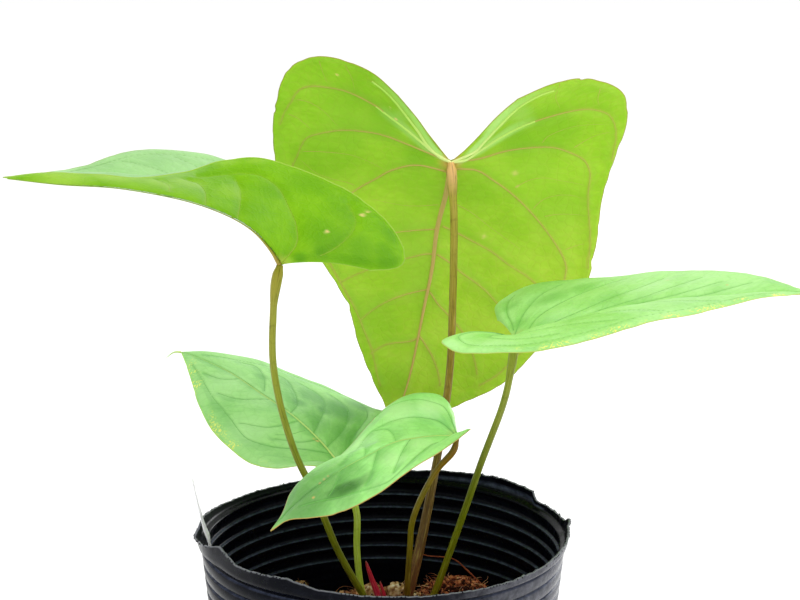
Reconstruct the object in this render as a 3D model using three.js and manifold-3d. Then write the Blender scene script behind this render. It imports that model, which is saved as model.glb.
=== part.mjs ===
// Potted anthurium hybrid: a ribbed nursery pot of growing mix with a young plant of five heart-shaped leaves.
// Units are millimetres, +Z is up, and the origin is the middle of the underside of the pot.
// Seen from the front (looking along +Y), the large blade hangs at the back with its underside to the viewer.
import * as THREE from "three";
import { mergeVertices } from "three/addons/utils/BufferGeometryUtils.js";
import Module from "manifold-3d";

const wasm = await Module();
wasm.setup();

const CLEARANCE = 0.3; // between pieces that touch

// Pot
const POT_HEIGHT = 137;
const POT_BASE_RADIUS = 60.5;
const POT_TAPER = 0.1; // radius gained per mm of height
const POT_WALL = 0.9;
const POT_FLOOR = 1.2;
const POT_BASE_BEVEL = 2;
const RIB_COUNT = 6;
const RIB_PITCH = 5.9;
const RIB_DEPTH = 1.3;
const RIB_SHAPE = [[0, 0], [0.28, 1], [0.72, 1]]; // shares of the pitch, downwards, and of the depth
const RIM_FLAP = 4.4; // smooth band above the ribs
const RIM_FLARE = 2.4;
const FLARE_START = { height: 2, share: 0.35 }; // above the ribs
const RIM_HEIGHTS = [[0, 138.6], [4, 139.4], [12, 137], [24, 136.3], [30, 136], [33, 140], [48, 140.2],
  [60, 139.5], [74, 138.2], [90, 136.6], [110, 135.8], [130, 135.5], [150, 136.2], [165, 137.5], [173, 138.4],
  [180, 136], [186, 135.2], [198, 138.5], [206, 141.5], [212, 143.8], [217, 142], [223, 140.2], [233, 140.7],
  [242, 141], [252, 138.7], [267, 137.5], [290, 136.8], [325, 136.5], [345, 137], [360, 138.6]];
const DRAIN_COUNT = 6;
const DRAIN_RADIUS = 4.5;
const DRAIN_CIRCLE = 42;
const DRAIN_SEGMENTS = 10;
const POT_SEGMENTS = 64;

// Growing mix
const MIX_EDGE = 83; // height of the surface at the wall
const MIX_TOP = 100.7; // height of the mound round the crown
const MOUND_SHOULDER = 20; // radius where the mound starts to fall
const MIX_SEGMENTS = 40;
const MIX_RINGS = [1, 0.88, 0.75, 0.62, 0.5, 0.38, 0.27]; // shares of the radius at the wall
const MIX_FOOT = { inset: 4, height: 4 }; // bevel at the bottom
const LUMP = 1.1; // unevenness of the surface, which fades out at the crown
const LUMP_FADE = 9;

// Crown and feeding roots
const CROWN = new THREE.Vector3(6, -3, 101);
const CROWN_RADIUS = 12.5;
const CROWN_DEPTH = 26;
const CROWN_FOOT = [[0.6, 1], [0.95, 9]]; // share of the radius, height above the bottom
const CROWN_SHOULDER = 8; // full radius from so far under the top
const CROWN_SEGMENTS = 16;
const ROOT_COUNT = 6;
const ROOT_RADIUS = 2;
const ROOT_TAPER = 0.45;
const ROOT_START = 6; // above the bottom of the crown
const ROOT_PATH = [[3, 0], [20, 0.13], [34, 0.5], [46, 1]]; // reach, share of the drop
const ROOT_DROP = 38;
const ROOT_SPREAD = 0.25; // share by which the drop of each root differs
const ROOT_CURL = 90; // reach over which a root turns by one radian
const ROOT_STEP = 9;
const ROOT_SIDES = 6;

// Leaf blades: outlines run from the tip round the side to the inner edge of the lobe, midribs from base to tip
const BLADE_THICKNESS = 0.7;
const BLADE_RIBS = 16; // steps along each edge
const BLADE_STEPS = 6; // steps from midrib to edge
const LEAVES = [
  {
    place: "back",
    colour: "#9cc534",
    stalkColour: "#8a6a2c",
    lobeStart: 0.62,
    arch: { left: 0.03, right: 0.03 },
    midrib: [[27, 46, 282], [26, 51, 270], [23, 59, 252], [21, 66, 233], [18, 72, 216], [15, 77, 199],
      [11, 81, 179], [3, 86, 150]],
    left: [[3, 86, 150], [1, 84, 163], [-6, 80, 180], [-12, 75, 198], [-16, 71, 215], [-24, 66, 231],
      [-33, 60, 247], [-40, 54, 264], [-45, 48, 280], [-46, 41, 296], [-44, 34, 310], [-39, 29, 323],
      [-29, 25, 329], [-16, 24, 328], [-3, 25, 322], [7, 30, 312]],
    right: [[3, 86, 150], [18, 84, 159], [37, 81, 168], [54, 78, 178], [67, 74, 193], [80, 69, 210],
      [89, 64, 228], [92, 58, 248], [93, 52, 266], [97, 45, 284], [101, 38, 301], [98, 31, 314],
      [84, 26, 320], [68, 25, 318], [54, 29, 311]],
    stalk: [[29, 38, 260], [29, 31, 230], [28, 24, 200], [25, 17, 174], [20, 8, 144],
      [16, 2, 125], [12, -2, 109], [10, -3, 102]],
    radius: { joint: 2, middle: 1.6, foot: 2.1 },
  },
  {
    place: "left",
    colour: "#74bf24",
    stalkColour: "#7d8b22",
    lobeStart: 0.58,
    arch: { left: 0.05, right: 0.05 },
    midrib: [[-40, -11, 251], [-44, -13, 258], [-51, -15, 266], [-62, -18, 273], [-78, -21, 279],
      [-101, -25, 284], [-123, -28, 286], [-144, -31, 289]],
    left: [[-144, -31, 289], [-125, -38, 292], [-105, -50, 293], [-86, -61, 294], [-70, -67, 297],
      [-58, -69, 301], [-45, -66, 302], [-32, -61, 298], [-19, -57, 292], [-6, -55, 284], [4, -53, 274],
      [9, -51, 263], [6, -46, 257], [-4, -37, 254]],
    right: [[-144, -31, 289], [-129, -26, 290], [-115, -14, 291], [-102, 0, 294], [-88, 14, 293],
      [-73, 28, 289], [-60, 38, 283], [-47, 43, 277], [-33, 44, 270], [-19, 42, 264], [-8, 36, 258],
      [-5, 26, 252], [-10, 14, 249]],
    stalk: [[-42, -14, 243], [-43, -17, 231], [-43, -22, 215], [-40, -27, 198],
      [-34, -29, 178], [-26, -26, 160], [-16, -20, 135], [-8, -13, 113], [-3, -9, 102.2]],
    radius: { joint: 2.2, middle: 1.4, foot: 1.65 },
  },
  {
    place: "right",
    colour: "#8edd78",
    stalkColour: "#7a8f28",
    lobeStart: 0.64,
    arch: { left: 0.05, right: 0.05 },
    midrib: [[52, -20, 223], [60, -23, 227], [73, -28, 232], [89, -33, 237], [106, -40, 242],
      [125, -47, 245], [142, -53, 248], [160, -58, 250]],
    left: [[160, -58, 250], [154, -51, 251], [146, -40, 252], [136, -26, 251], [125, -10, 248], [112, 6, 244],
      [99, 20, 239], [86, 31, 236], [75, 39, 233], [63, 43, 230], [53, 40, 226], [47, 30, 224], [47, 14, 222]],
    right: [[160, -58, 250], [151, -62, 250], [138, -67, 250], [124, -73, 248], [110, -78, 246],
      [95, -81, 244], [82, -82, 240], [68, -81, 236], [55, -79, 233], [42, -74, 232], [30, -65, 230],
      [24, -53, 228], [31, -40, 228]],
    stalk: [[51, -21, 212], [48, -17, 195], [40, -10, 169], [34, -5, 148], [27, -1, 125],
      [21, -1, 108], [17, -2, 102.2]],
    radius: { joint: 1.9, middle: 1.4, foot: 1.5 },
  },
  {
    place: "middle",
    colour: "#79cc62",
    stalkColour: "#9db850",
    lobeStart: 0.62,
    arch: { left: 0.06, right: 0.06 },
    midrib: [[-16, 14, 157], [-21, 18, 162], [-28, 25, 168], [-39, 35, 175], [-53, 47, 181], [-67, 59, 187],
      [-80, 70, 190], [-91, 78, 192]],
    left: [[-91, 78, 192], [-88, 69, 189], [-84, 56, 184], [-80, 43, 178], [-73, 28, 171], [-65, 16, 167],
      [-55, 4, 164], [-44, -6, 165], [-33, -12, 168], [-25, -14, 168], [-18, -10, 164]],
    right: [[-91, 78, 192], [-83, 80, 192], [-71, 85, 189], [-56, 88, 185], [-42, 88, 179], [-26, 85, 174],
      [-11, 77, 169], [4, 65, 167], [14, 52, 166], [16, 39, 164], [7, 28, 161]],
    stalk: [[-14, 11, 150], [-11, 8, 140], [-11, 6, 125], [-9, 4, 108], [-5, 2, 102.1]],
    radius: { joint: 1.7, middle: 1.4, foot: 1.3 },
  },
  {
    place: "front",
    colour: "#84d66c",
    stalkColour: "#7e6a1a",
    lobeStart: 0.62,
    arch: { left: 0.08, right: 0.08 },
    midrib: [[30, -19, 182], [23, -24, 184], [14, -30, 185], [5, -36, 185], [-5, -43, 182], [-16, -50, 178],
      [-28, -57, 171], [-42, -64, 159]],
    left: [[-42, -64, 159], [-35, -66, 164], [-27, -69, 166], [-18, -71, 168], [-9, -72, 172], [0, -71, 177],
      [8, -67, 182], [18, -60, 186], [26, -51, 188], [32, -42, 190], [34, -37, 191]],
    right: [[-42, -64, 159], [-38, -60, 164], [-35, -52, 170], [-30, -42, 173], [-22, -31, 174],
      [-14, -20, 178], [-6, -9, 184], [2, 2, 189], [12, 10, 192], [23, 14, 190], [29, 8, 185]],
    stalk: [[28, -19, 176], [22, -17, 168], [16, -14, 156], [12, -12, 144], [11, -11, 132],
      [10, -11, 114], [10, -11, 101.4]],
    radius: { joint: 1.4, middle: 1.2, foot: 1.3 },
  },
];

// Leaf stalks
const STALK_SIDES = 8;
const STALK_STEP = 9; // length of one facet along the stalk
const JOINT_LENGTH = 12; // thick end under the blade
const FOOT_LENGTH = 25;
const DOME_LENGTH = 5; // rounded end of the joint
const DOME_END = 0.3; // share of the radius left at the very end
const DOME_ROOM = 0.4; // extra room that the slanting end needs under the blade

// Red sheath round the next leaf, with a second small tip
const SHEATH = {
  main: [[-7, -14, 128], [-4.6, -13.2, 120], [-1.8, -12.2, 112], [0.5, -11, 102]],
  second: [[-1.2, -13.4, 119], [0.8, -12.6, 111], [1.8, -11.6, 102]],
  radius: 1.9,
  secondRadius: 1.3,
  tip: 0.15,
  step: 4,
};

// Pieces that lie on the mix
const COIR = {
  centre: [30, 13, 103.5],
  half: [14.5, 8, 6.5],
  strand: [[40, 15, 107], [36, 16, 112], [30, 15, 117.5], [26, 15, 118.7], [18.5, 14.5, 120], [12.5, 14, 122]],
  strandRadius: 0.6,
};
const BARK = { centre: [-37, 43, 90], half: [4.5, 3, 5.5] };
const PUMICE = [
  { centre: [-5.5, 10, 104.5], half: [3, 3, 4] },
  { centre: [5.5, 13, 104], half: [4.2, 3.4, 4.2] },
  { centre: [13, 13, 101.6], half: [2.4, 2.2, 2.2] },
];
const ROUGHNESS = 0.09; // share of a lump's size by which its facets go in and out

// Plain plant label, leaning outwards past the rim; each row holds x, z and the half width there
const LABEL_THICKNESS = 0.8;
const LABEL_ROWS = [[-56.4, 62, 0.8], [-59, 74, 5.5], [-71.2, 131.5, 5.5], [-74.2, 138, 5.2], [-77.7, 153.5, 4],
  [-78.6, 158, 1.5]];

const vector = (point) => new THREE.Vector3(...point);
const curveThrough = (points) => new THREE.CatmullRomCurve3(points.map(vector), false, "catmullrom", 0.5);
const potRadius = (height) => POT_BASE_RADIUS + POT_TAPER * height;

function meshGeometry(points, triangles) {
  const geometry = new THREE.BufferGeometry();
  const positions = points.flatMap((point) => [point.x, point.y, point.z]);
  geometry.setAttribute("position", new THREE.Float32BufferAttribute(positions, 3));
  geometry.setIndex(triangles.flat());
  geometry.computeVertexNormals();
  return geometry;
}

function toSolid(geometry) {
  const bare = geometry.clone();
  bare.deleteAttribute("normal");
  bare.deleteAttribute("uv");
  const merged = mergeVertices(bare, 1e-4);
  const vertProperties = new Float32Array(merged.attributes.position.array);
  const triVerts = new Uint32Array(merged.index.array);
  return new wasm.Manifold(new wasm.Mesh({ numProp: 3, vertProperties, triVerts }));
}

function fromSolid(solid) {
  const { vertProperties, triVerts } = solid.getMesh();
  const geometry = new THREE.BufferGeometry();
  geometry.setAttribute("position", new THREE.BufferAttribute(vertProperties, 3));
  geometry.setIndex(new THREE.BufferAttribute(triVerts, 1));
  geometry.computeVertexNormals();
  return geometry;
}

const joined = (geometries) => fromSolid(geometries.map(toSolid).reduce((all, next) => all.add(next)));
const cutBy = (geometry, cutters) =>
  fromSolid(cutters.map(toSolid).reduce((rest, cutter) => rest.subtract(cutter), toSolid(geometry)));

// Round bar along a curve, ringed at the given distances from its first point, with a radius for each
function barGeometry(points, stations, radiusAt, sides) {
  const curve = curveThrough(points);
  const length = curve.getLength();
  const chord = vector(points.at(-1)).sub(vector(points[0]));
  const flattest = chord.toArray().map(Math.abs);
  const reference = new THREE.Vector3().setComponent(flattest.indexOf(Math.min(...flattest)), 1);
  const rings = [];
  for (const distance of stations) {
    const along = Math.min(1, distance / length);
    const centre = curve.getPointAt(along);
    const tangent = curve.getTangentAt(along);
    const first = tangent.clone().cross(reference).normalize();
    const second = tangent.clone().cross(first);
    const radius = radiusAt(distance);
    for (let side = 0; side < sides; side += 1) {
      const turn = (side / sides) * 2 * Math.PI;
      const across = first.clone().multiplyScalar(Math.cos(turn) * radius);
      rings.push(centre.clone().add(across).addScaledVector(second, Math.sin(turn) * radius));
    }
  }
  const count = stations.length - 1;
  const triangles = [];
  for (let ring = 0; ring < count; ring += 1) {
    for (let side = 0; side < sides; side += 1) {
      const a = ring * sides + side;
      const b = ring * sides + ((side + 1) % sides);
      triangles.push([a, b, a + sides], [b, b + sides, a + sides]);
    }
  }
  const last = count * sides;
  for (let side = 1; side < sides - 1; side += 1) {
    triangles.push([0, side + 1, side], [last, last + side, last + side + 1]);
  }
  return meshGeometry(rings, triangles);
}

function evenStations(points, step, start = 0) {
  const length = curveThrough(points).getLength();
  const count = Math.max(3, Math.round((length - start) / step));
  return Array.from({ length: count + 1 }, (_, ring) => start + ((length - start) * ring) / count);
}

// Turned solid: the profile lists radius and height
function turned(profile, segments) {
  const points = profile.map(([radius, height]) => new THREE.Vector2(radius, height));
  return new THREE.LatheGeometry(points, segments).rotateX(Math.PI / 2);
}

// Pot
function rimHeight(x, y) {
  const angle = (THREE.MathUtils.radToDeg(Math.atan2(y, x)) + 360) % 360;
  const next = RIM_HEIGHTS.findIndex(([limit]) => limit > angle);
  const [before, from] = RIM_HEIGHTS[next - 1];
  const [after, to] = RIM_HEIGHTS[next];
  return THREE.MathUtils.mapLinear(angle, before, after, from, to);
}

function wallProfile(inset) {
  const crease = POT_HEIGHT - RIM_FLAP;
  const flare = crease + FLARE_START.height;
  const profile = [
    [potRadius(POT_HEIGHT) + RIM_FLARE - inset, POT_HEIGHT],
    [potRadius(flare) + RIM_FLARE * FLARE_START.share - inset, flare],
  ];
  for (let rib = 0; rib < RIB_COUNT; rib += 1) {
    for (const [down, depth] of RIB_SHAPE) {
      const height = crease - (rib + down) * RIB_PITCH;
      profile.push([potRadius(height) + depth * RIB_DEPTH - inset, height]);
    }
  }
  const foot = crease - RIB_COUNT * RIB_PITCH;
  profile.push([potRadius(foot) - inset, foot]);
  return profile;
}

function potGeometry() {
  const outside = wallProfile(0).reverse();
  const inside = wallProfile(POT_WALL);
  const corner = POT_BASE_BEVEL + POT_WALL / 2;
  const profile = [
    [0, 0],
    [POT_BASE_RADIUS - POT_BASE_BEVEL, 0],
    [potRadius(POT_BASE_BEVEL), POT_BASE_BEVEL],
    ...outside,
    ...inside,
    [potRadius(corner) - POT_WALL, corner],
    [POT_BASE_RADIUS - POT_BASE_BEVEL - POT_WALL / 2, POT_FLOOR],
    [0, POT_FLOOR],
  ];
  const pot = turned(profile, POT_SEGMENTS);
  const position = pot.attributes.position;
  const crease = POT_HEIGHT - RIM_FLAP;
  for (let i = 0; i < position.count; i += 1) {
    const share = Math.max(0, (position.getZ(i) - crease) / RIM_FLAP);
    const rise = rimHeight(position.getX(i), position.getY(i)) - POT_HEIGHT;
    position.setZ(i, position.getZ(i) + share * rise);
  }
  const drains = [];
  for (let hole = 0; hole < DRAIN_COUNT; hole += 1) {
    const turn = ((hole + 0.5) / DRAIN_COUNT) * 2 * Math.PI;
    const drain = new THREE.CylinderGeometry(DRAIN_RADIUS, DRAIN_RADIUS, 4 * POT_FLOOR, DRAIN_SEGMENTS);
    drain.rotateX(Math.PI / 2);
    drain.translate(DRAIN_CIRCLE * Math.cos(turn), DRAIN_CIRCLE * Math.sin(turn), POT_FLOOR / 2);
    drains.push(drain);
  }
  return cutBy(pot, drains);
}

// Blade: straight ribs run from the midrib, or from the base in the lobes, to the edge, and arch on the way
const TIP = 0;
const BASE = 1;

function bladeSurface(leaf) {
  const midrib = curveThrough(leaf.midrib);
  const base = midrib.getPoint(0);
  const tip = midrib.getPoint(1);
  const points = [tip, base];
  const feet = [TIP];
  for (let i = 1; i <= BLADE_RIBS; i += 1) {
    const along = 1 - i / BLADE_RIBS / leaf.lobeStart;
    feet.push(along > 0 ? points.push(midrib.getPoint(along)) - 1 : BASE);
  }
  const triangles = [];
  for (const side of ["left", "right"]) {
    const edge = curveThrough(leaf[side]);
    const middle = edge.getPoint(0.5);
    const forward = tip.clone().sub(base);
    const outward = middle.clone().sub(base);
    const up = side === "left" ? forward.clone().cross(outward) : outward.clone().cross(forward);
    up.normalize();
    const rows = [new Array(BLADE_STEPS + 1).fill(TIP)];
    for (let i = 1; i <= BLADE_RIBS; i += 1) {
      const foot = points[feet[i]];
      const reach = edge.getPoint(i / BLADE_RIBS).sub(foot);
      const row = [feet[i]];
      for (let j = 1; j <= BLADE_STEPS; j += 1) {
        const share = j / BLADE_STEPS;
        const rise = leaf.arch[side] * reach.length() * 4 * share * (1 - share);
        row.push(points.push(foot.clone().addScaledVector(reach, share).addScaledVector(up, rise)) - 1);
      }
      rows.push(row);
    }
    for (let i = 0; i < BLADE_RIBS; i += 1) {
      for (let j = 0; j < BLADE_STEPS; j += 1) {
        const pair = [
          [rows[i][j], rows[i][j + 1], rows[i + 1][j]],
          [rows[i][j + 1], rows[i + 1][j + 1], rows[i + 1][j]],
        ];
        for (const corners of pair) {
          if (new Set(corners).size === 3) {
            triangles.push(side === "left" ? corners : [...corners].reverse());
          }
        }
      }
    }
  }
  return { points, triangles };
}

// Closed sheet of even thickness round the blade's surface, both faces with the same triangles
function bladeGeometry(leaf) {
  const { points, triangles } = bladeSurface(leaf);
  const normals = meshGeometry(points, triangles).attributes.normal;
  const faces = [0.5, -0.5].map((share) =>
    points.map((point, i) => {
      const normal = new THREE.Vector3().fromBufferAttribute(normals, i);
      return point.clone().addScaledVector(normal, share * BLADE_THICKNESS);
    }),
  );
  const count = points.length;
  const edges = new Set(triangles.flatMap(([a, b, c]) => [`${a} ${b}`, `${b} ${c}`, `${c} ${a}`]));
  const rim = [];
  for (const edge of edges) {
    const [a, b] = edge.split(" ").map(Number);
    if (!edges.has(`${b} ${a}`)) {
      rim.push([b, a, a + count], [b, a + count, b + count]);
    }
  }
  const underside = triangles.map(([a, b, c]) => [c + count, b + count, a + count]);
  return meshGeometry(faces.flat(), [...triangles, ...underside, ...rim]);
}

// Leaf stalk: round end and thick joint under the blade, slim middle, wider foot on the crown
function stalkGeometry(leaf) {
  const { joint, middle, foot } = leaf.radius;
  const points = [seatUnder(leaf).toArray(), ...leaf.stalk];
  const stations = [0, DOME_LENGTH / 2, ...evenStations(points, STALK_STEP, DOME_LENGTH)];
  const length = stations.at(-1);
  const radiusAt = (distance) => {
    const fromJoint = THREE.MathUtils.smoothstep(distance, JOINT_LENGTH * 0.5, JOINT_LENGTH * 1.5);
    const toFoot = THREE.MathUtils.smoothstep(distance, length - FOOT_LENGTH, length);
    const dome = DOME_END + (1 - DOME_END) * Math.sqrt(Math.min(1, distance / DOME_LENGTH));
    return dome * (joint + (middle - joint) * fromJoint + (foot - middle) * toFoot);
  };
  return barGeometry(points, stations, radiusAt, STALK_SIDES);
}

function seatUnder(leaf) {
  const { points, triangles } = bladeSurface(leaf);
  const normals = meshGeometry(points, triangles).attributes.normal;
  const down = new THREE.Vector3().fromBufferAttribute(normals, BASE).negate();
  return points[BASE].clone().addScaledVector(down, BLADE_THICKNESS / 2 + CLEARANCE + DOME_ROOM);
}

function sheathGeometry() {
  const cones = [[SHEATH.main, SHEATH.radius], [SHEATH.second, SHEATH.secondRadius]];
  const parts = cones.map(([points, radius]) => {
    const stations = evenStations(points, SHEATH.step);
    const taper = (distance) => SHEATH.tip + (radius - SHEATH.tip) * Math.sqrt(distance / stations.at(-1));
    return barGeometry(points, stations, taper, STALK_SIDES);
  });
  return joined(parts);
}

// Crown with its roots; grow makes it larger all round, for the hole that it stands in
function crownGeometry(grow) {
  const top = grow > 0 ? CROWN.z + CROWN_SHOULDER : CROWN.z;
  const radius = CROWN_RADIUS + grow;
  const bottom = CROWN.z - CROWN_DEPTH - grow;
  const profile = [
    [0, bottom],
    ...CROWN_FOOT.map(([share, height]) => [radius * share, bottom + height]),
    [radius, CROWN.z - CROWN_SHOULDER],
    [radius, top],
    [0, top],
  ];
  const stem = turned(profile, CROWN_SEGMENTS).translate(CROWN.x, CROWN.y, 0);
  const pieces = [stem];
  for (let root = 0; root < ROOT_COUNT; root += 1) {
    const start = ((root + 0.25) / ROOT_COUNT) * 2 * Math.PI;
    const drop = ROOT_DROP * (1 + ROOT_SPREAD * Math.sin(5 * root + 1));
    const path = ROOT_PATH.map(([reach, share]) => {
      const turn = start + reach / ROOT_CURL;
      const off = 1 - reach / ROOT_PATH.at(-1)[0]; // roots end in rings round the middle of the pot
      return [
        CROWN.x * off + reach * Math.cos(turn),
        CROWN.y * off + reach * Math.sin(turn),
        CROWN.z - CROWN_DEPTH + ROOT_START - share * drop,
      ];
    });
    const stations = evenStations(path, ROOT_STEP);
    const taper = (distance) => grow + ROOT_RADIUS * (1 - ROOT_TAPER * (distance / stations.at(-1)));
    pieces.push(barGeometry(path, stations, taper, ROOT_SIDES));
  }
  return joined(pieces);
}

// Lump with uneven facets; seed turns the pattern, grow makes it larger all round
function lumpGeometry({ centre, half }, seed, grow = 0) {
  const lump = mergedSphere();
  const position = lump.attributes.position;
  for (let i = 0; i < position.count; i += 1) {
    const unit = new THREE.Vector3().fromBufferAttribute(position, i);
    const bump = 1 + ROUGHNESS * Math.sin(unit.x * 7 + seed) * Math.cos(unit.y * 6 + unit.z * 5 + 2 * seed);
    position.setXYZ(i, ...[unit.x, unit.y, unit.z].map((value, axis) => value * (half[axis] + grow) * bump));
  }
  lump.computeVertexNormals();
  return lump.translate(...centre);
}

function mergedSphere() {
  const ball = new THREE.IcosahedronGeometry(1, 1);
  ball.deleteAttribute("normal");
  ball.deleteAttribute("uv");
  return mergeVertices(ball, 1e-4);
}

function coirGeometry() {
  const strand = barGeometry(COIR.strand, evenStations(COIR.strand, 5), () => COIR.strandRadius, 6);
  return joined([lumpGeometry(COIR, 1), strand]);
}

// Label: rows of four corners up its length; grow makes it larger all round
function labelGeometry(grow) {
  const corners = LABEL_ROWS.flatMap(([x, z, halfWidth], row) => {
    const reach = row === 0 ? -grow : 0;
    const thick = LABEL_THICKNESS / 2 + grow;
    const wide = halfWidth + grow;
    return [[-1, -1], [-1, 1], [1, 1], [1, -1]].map(
      ([across, out]) => new THREE.Vector3(x + out * thick, across * wide, z + reach),
    );
  });
  const triangles = [[0, 2, 1], [0, 3, 2]];
  for (let row = 0; row < LABEL_ROWS.length - 1; row += 1) {
    for (let side = 0; side < 4; side += 1) {
      const a = row * 4 + side;
      const b = row * 4 + ((side + 1) % 4);
      triangles.push([a, b, a + 4], [b, b + 4, a + 4]);
    }
  }
  const last = corners.length - 4;
  triangles.push([last, last + 1, last + 2], [last, last + 2, last + 3]);
  return meshGeometry(corners, triangles);
}

// Growing mix: fills the pot and mounds round the crown, with a plain hole for each piece that stands in it
function mixGeometry() {
  const inset = POT_WALL + CLEARANCE;
  const bottom = POT_FLOOR + CLEARANCE;
  const edge = potRadius(MIX_EDGE) - inset;
  const fall = (radius) => {
    const share = THREE.MathUtils.smoothstep(radius, MOUND_SHOULDER, edge);
    return MIX_TOP + (MIX_EDGE - MIX_TOP) * share;
  };
  const foot = bottom + MIX_FOOT.height;
  const profile = [
    [0, bottom],
    [POT_BASE_RADIUS - MIX_FOOT.inset, bottom],
    [potRadius(foot) - inset, foot],
    ...MIX_RINGS.map((share) => [edge * share, fall(edge * share)]),
    [0, MIX_TOP],
  ];
  const mix = turned(profile, MIX_SEGMENTS);
  const position = mix.attributes.position;
  for (let i = 0; i < position.count; i += 1) {
    const [x, y, z] = [position.getX(i), position.getY(i), position.getZ(i)];
    const fromCrown = Math.hypot(x - CROWN.x, y - CROWN.y);
    const clear = THREE.MathUtils.smoothstep(fromCrown, CROWN_RADIUS, CROWN_RADIUS + LUMP_FADE);
    const open = clear * THREE.MathUtils.smoothstep(z, MIX_EDGE - 1, MIX_EDGE + 3);
    const bump = Math.sin(x * 0.31 + 1) * Math.cos(y * 0.27) + 0.6 * Math.sin(x * 0.17 - y * 0.23);
    position.setZ(i, z + open * LUMP * bump);
  }
  const holes = [
    crownGeometry(CLEARANCE),
    labelGeometry(CLEARANCE),
    lumpGeometry(COIR, 1, CLEARANCE),
    lumpGeometry(BARK, 2, CLEARANCE),
    ...PUMICE.map((stone, index) => lumpGeometry(stone, 3 + index, CLEARANCE)),
  ];
  return cutBy(mix, holes);
}

const plant = new THREE.Group();

function addPiece(name, geometry, color, roughness) {
  const material = new THREE.MeshStandardMaterial({ color, roughness, metalness: 0 });
  const piece = new THREE.Mesh(geometry, material);
  piece.name = name;
  plant.add(piece);
}

addPiece("pot", potGeometry(), "#17191b", 0.45);
addPiece("growing_mix", mixGeometry(), "#5a3a28", 0.95);
addPiece("crown_and_roots", crownGeometry(0), "#7a6a42", 0.8);
for (const leaf of LEAVES) {
  addPiece(`blade_${leaf.place}`, bladeGeometry(leaf), leaf.colour, 0.5);
  addPiece(`stalk_${leaf.place}`, stalkGeometry(leaf), leaf.stalkColour, 0.5);
}
addPiece("red_sheath", sheathGeometry(), "#b0202e", 0.45);
addPiece("coir_chunk", coirGeometry(), "#8a4f33", 0.95);
addPiece("bark_chip", lumpGeometry(BARK, 2), "#6d4228", 0.9);
PUMICE.forEach((stone, index) => {
  addPiece(`pumice_${index + 1}`, lumpGeometry(stone, 3 + index), "#e6dccb", 0.9);
});
addPiece("plant_label", labelGeometry(0), "#f2f2f4", 0.4);

export default plant;
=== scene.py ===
import math
import random
from types import SimpleNamespace

import bmesh
import bpy
from mathutils import Euler, Matrix, Vector, noise
from mathutils.bvhtree import BVHTree
from mathutils.interpolate import poly_3d_calc
from mathutils.kdtree import KDTree


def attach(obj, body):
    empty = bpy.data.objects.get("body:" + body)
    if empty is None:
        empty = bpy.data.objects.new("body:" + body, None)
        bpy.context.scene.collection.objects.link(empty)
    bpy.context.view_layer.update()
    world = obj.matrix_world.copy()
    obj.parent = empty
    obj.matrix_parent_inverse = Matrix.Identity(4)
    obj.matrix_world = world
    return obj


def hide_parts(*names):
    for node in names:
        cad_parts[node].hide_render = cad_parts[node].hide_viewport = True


# Potted anthurium hybrid: five heart-shaped leaves in a ribbed black nursery pot.
# Shapes are given in millimetres and the scene is in metres.
# Places called seen are pixels of the 800 by 600 picture.
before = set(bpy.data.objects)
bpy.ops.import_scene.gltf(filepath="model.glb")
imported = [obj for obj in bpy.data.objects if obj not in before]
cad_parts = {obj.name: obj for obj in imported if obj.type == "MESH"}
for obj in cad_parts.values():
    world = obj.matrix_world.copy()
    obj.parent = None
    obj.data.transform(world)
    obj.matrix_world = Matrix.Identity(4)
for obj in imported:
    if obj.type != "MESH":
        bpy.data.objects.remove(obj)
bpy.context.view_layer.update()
mm = 0.001

# Camera, first, because the veins are laid along its lines of sight
eye = {"place": (0.007, -0.745, 0.406), "pitch": 77, "pixels": 1900, "width": 800, "height": 600}
cameraData = bpy.data.cameras.new("pictureCamera")
cameraData.sensor_width = 36
cameraData.lens = eye["pixels"] / eye["width"] * 36
cameraData.clip_end = 50
camera = bpy.data.objects.new("pictureCamera", cameraData)
camera.location = eye["place"]
camera.rotation_euler = (math.radians(eye["pitch"]), 0, 0)
bpy.context.scene.collection.objects.link(camera)
bpy.context.scene.camera = camera
cameraTurn = Euler(camera.rotation_euler).to_matrix()


def sightLine(seen):
    ray = Vector((seen[0] - eye["width"] / 2, eye["height"] / 2 - seen[1], -eye["pixels"]))
    return cameraTurn @ ray.normalized()


def toLinear(hexColour):
    channels = [int(hexColour[i:i + 2], 16) / 255 for i in (1, 3, 5)]
    return (*[c / 12.92 if c <= 0.04045 else ((c + 0.055) / 1.055) ** 2.4 for c in channels], 1)


def addNode(tree, kind, values=None, stops=None, **settings):
    new = tree.nodes.new(kind)
    for name, value in settings.items():
        setattr(new, name, value)
    for socket, value in (values or {}).items():
        if isinstance(value, bpy.types.NodeSocket):
            tree.links.new(value, new.inputs[socket])
        else:
            new.inputs[socket].default_value = value
    if stops:  # a new ramp has two stops already, which become the first and the last
        elements = new.color_ramp.elements
        elements[0].position, elements[1].position = stops[0][0], stops[-1][0]
        elements[0].color, elements[1].color = toLinear(stops[0][1]), toLinear(stops[-1][1])
        for place, colour in stops[1:-1]:
            elements.new(place).color = toLinear(colour)
    return new


def startMaterial(name, **sockets):
    material = bpy.data.materials.new(name)
    material.use_nodes = True
    surface = material.node_tree.nodes["Principled BSDF"]
    for socket, value in sockets.items():
        surface.inputs[socket.replace("_", " ")].default_value = value
    return material, material.node_tree, surface


def layColours(tree, colour, layers):
    # a layer: what is read, from where to where, how much of the tone it gives at both, and the tone
    for source, low, high, first, last, tone in layers:
        amount = addNode(tree, "ShaderNodeMapRange", {0: source, 1: low, 2: high, 3: first, 4: last})
        values = {0: amount.outputs[0], 6: colour, 7: toLinear(tone)}
        colour = addNode(tree, "ShaderNodeMix", values, data_type="RGBA").outputs[2]
    return colour


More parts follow.
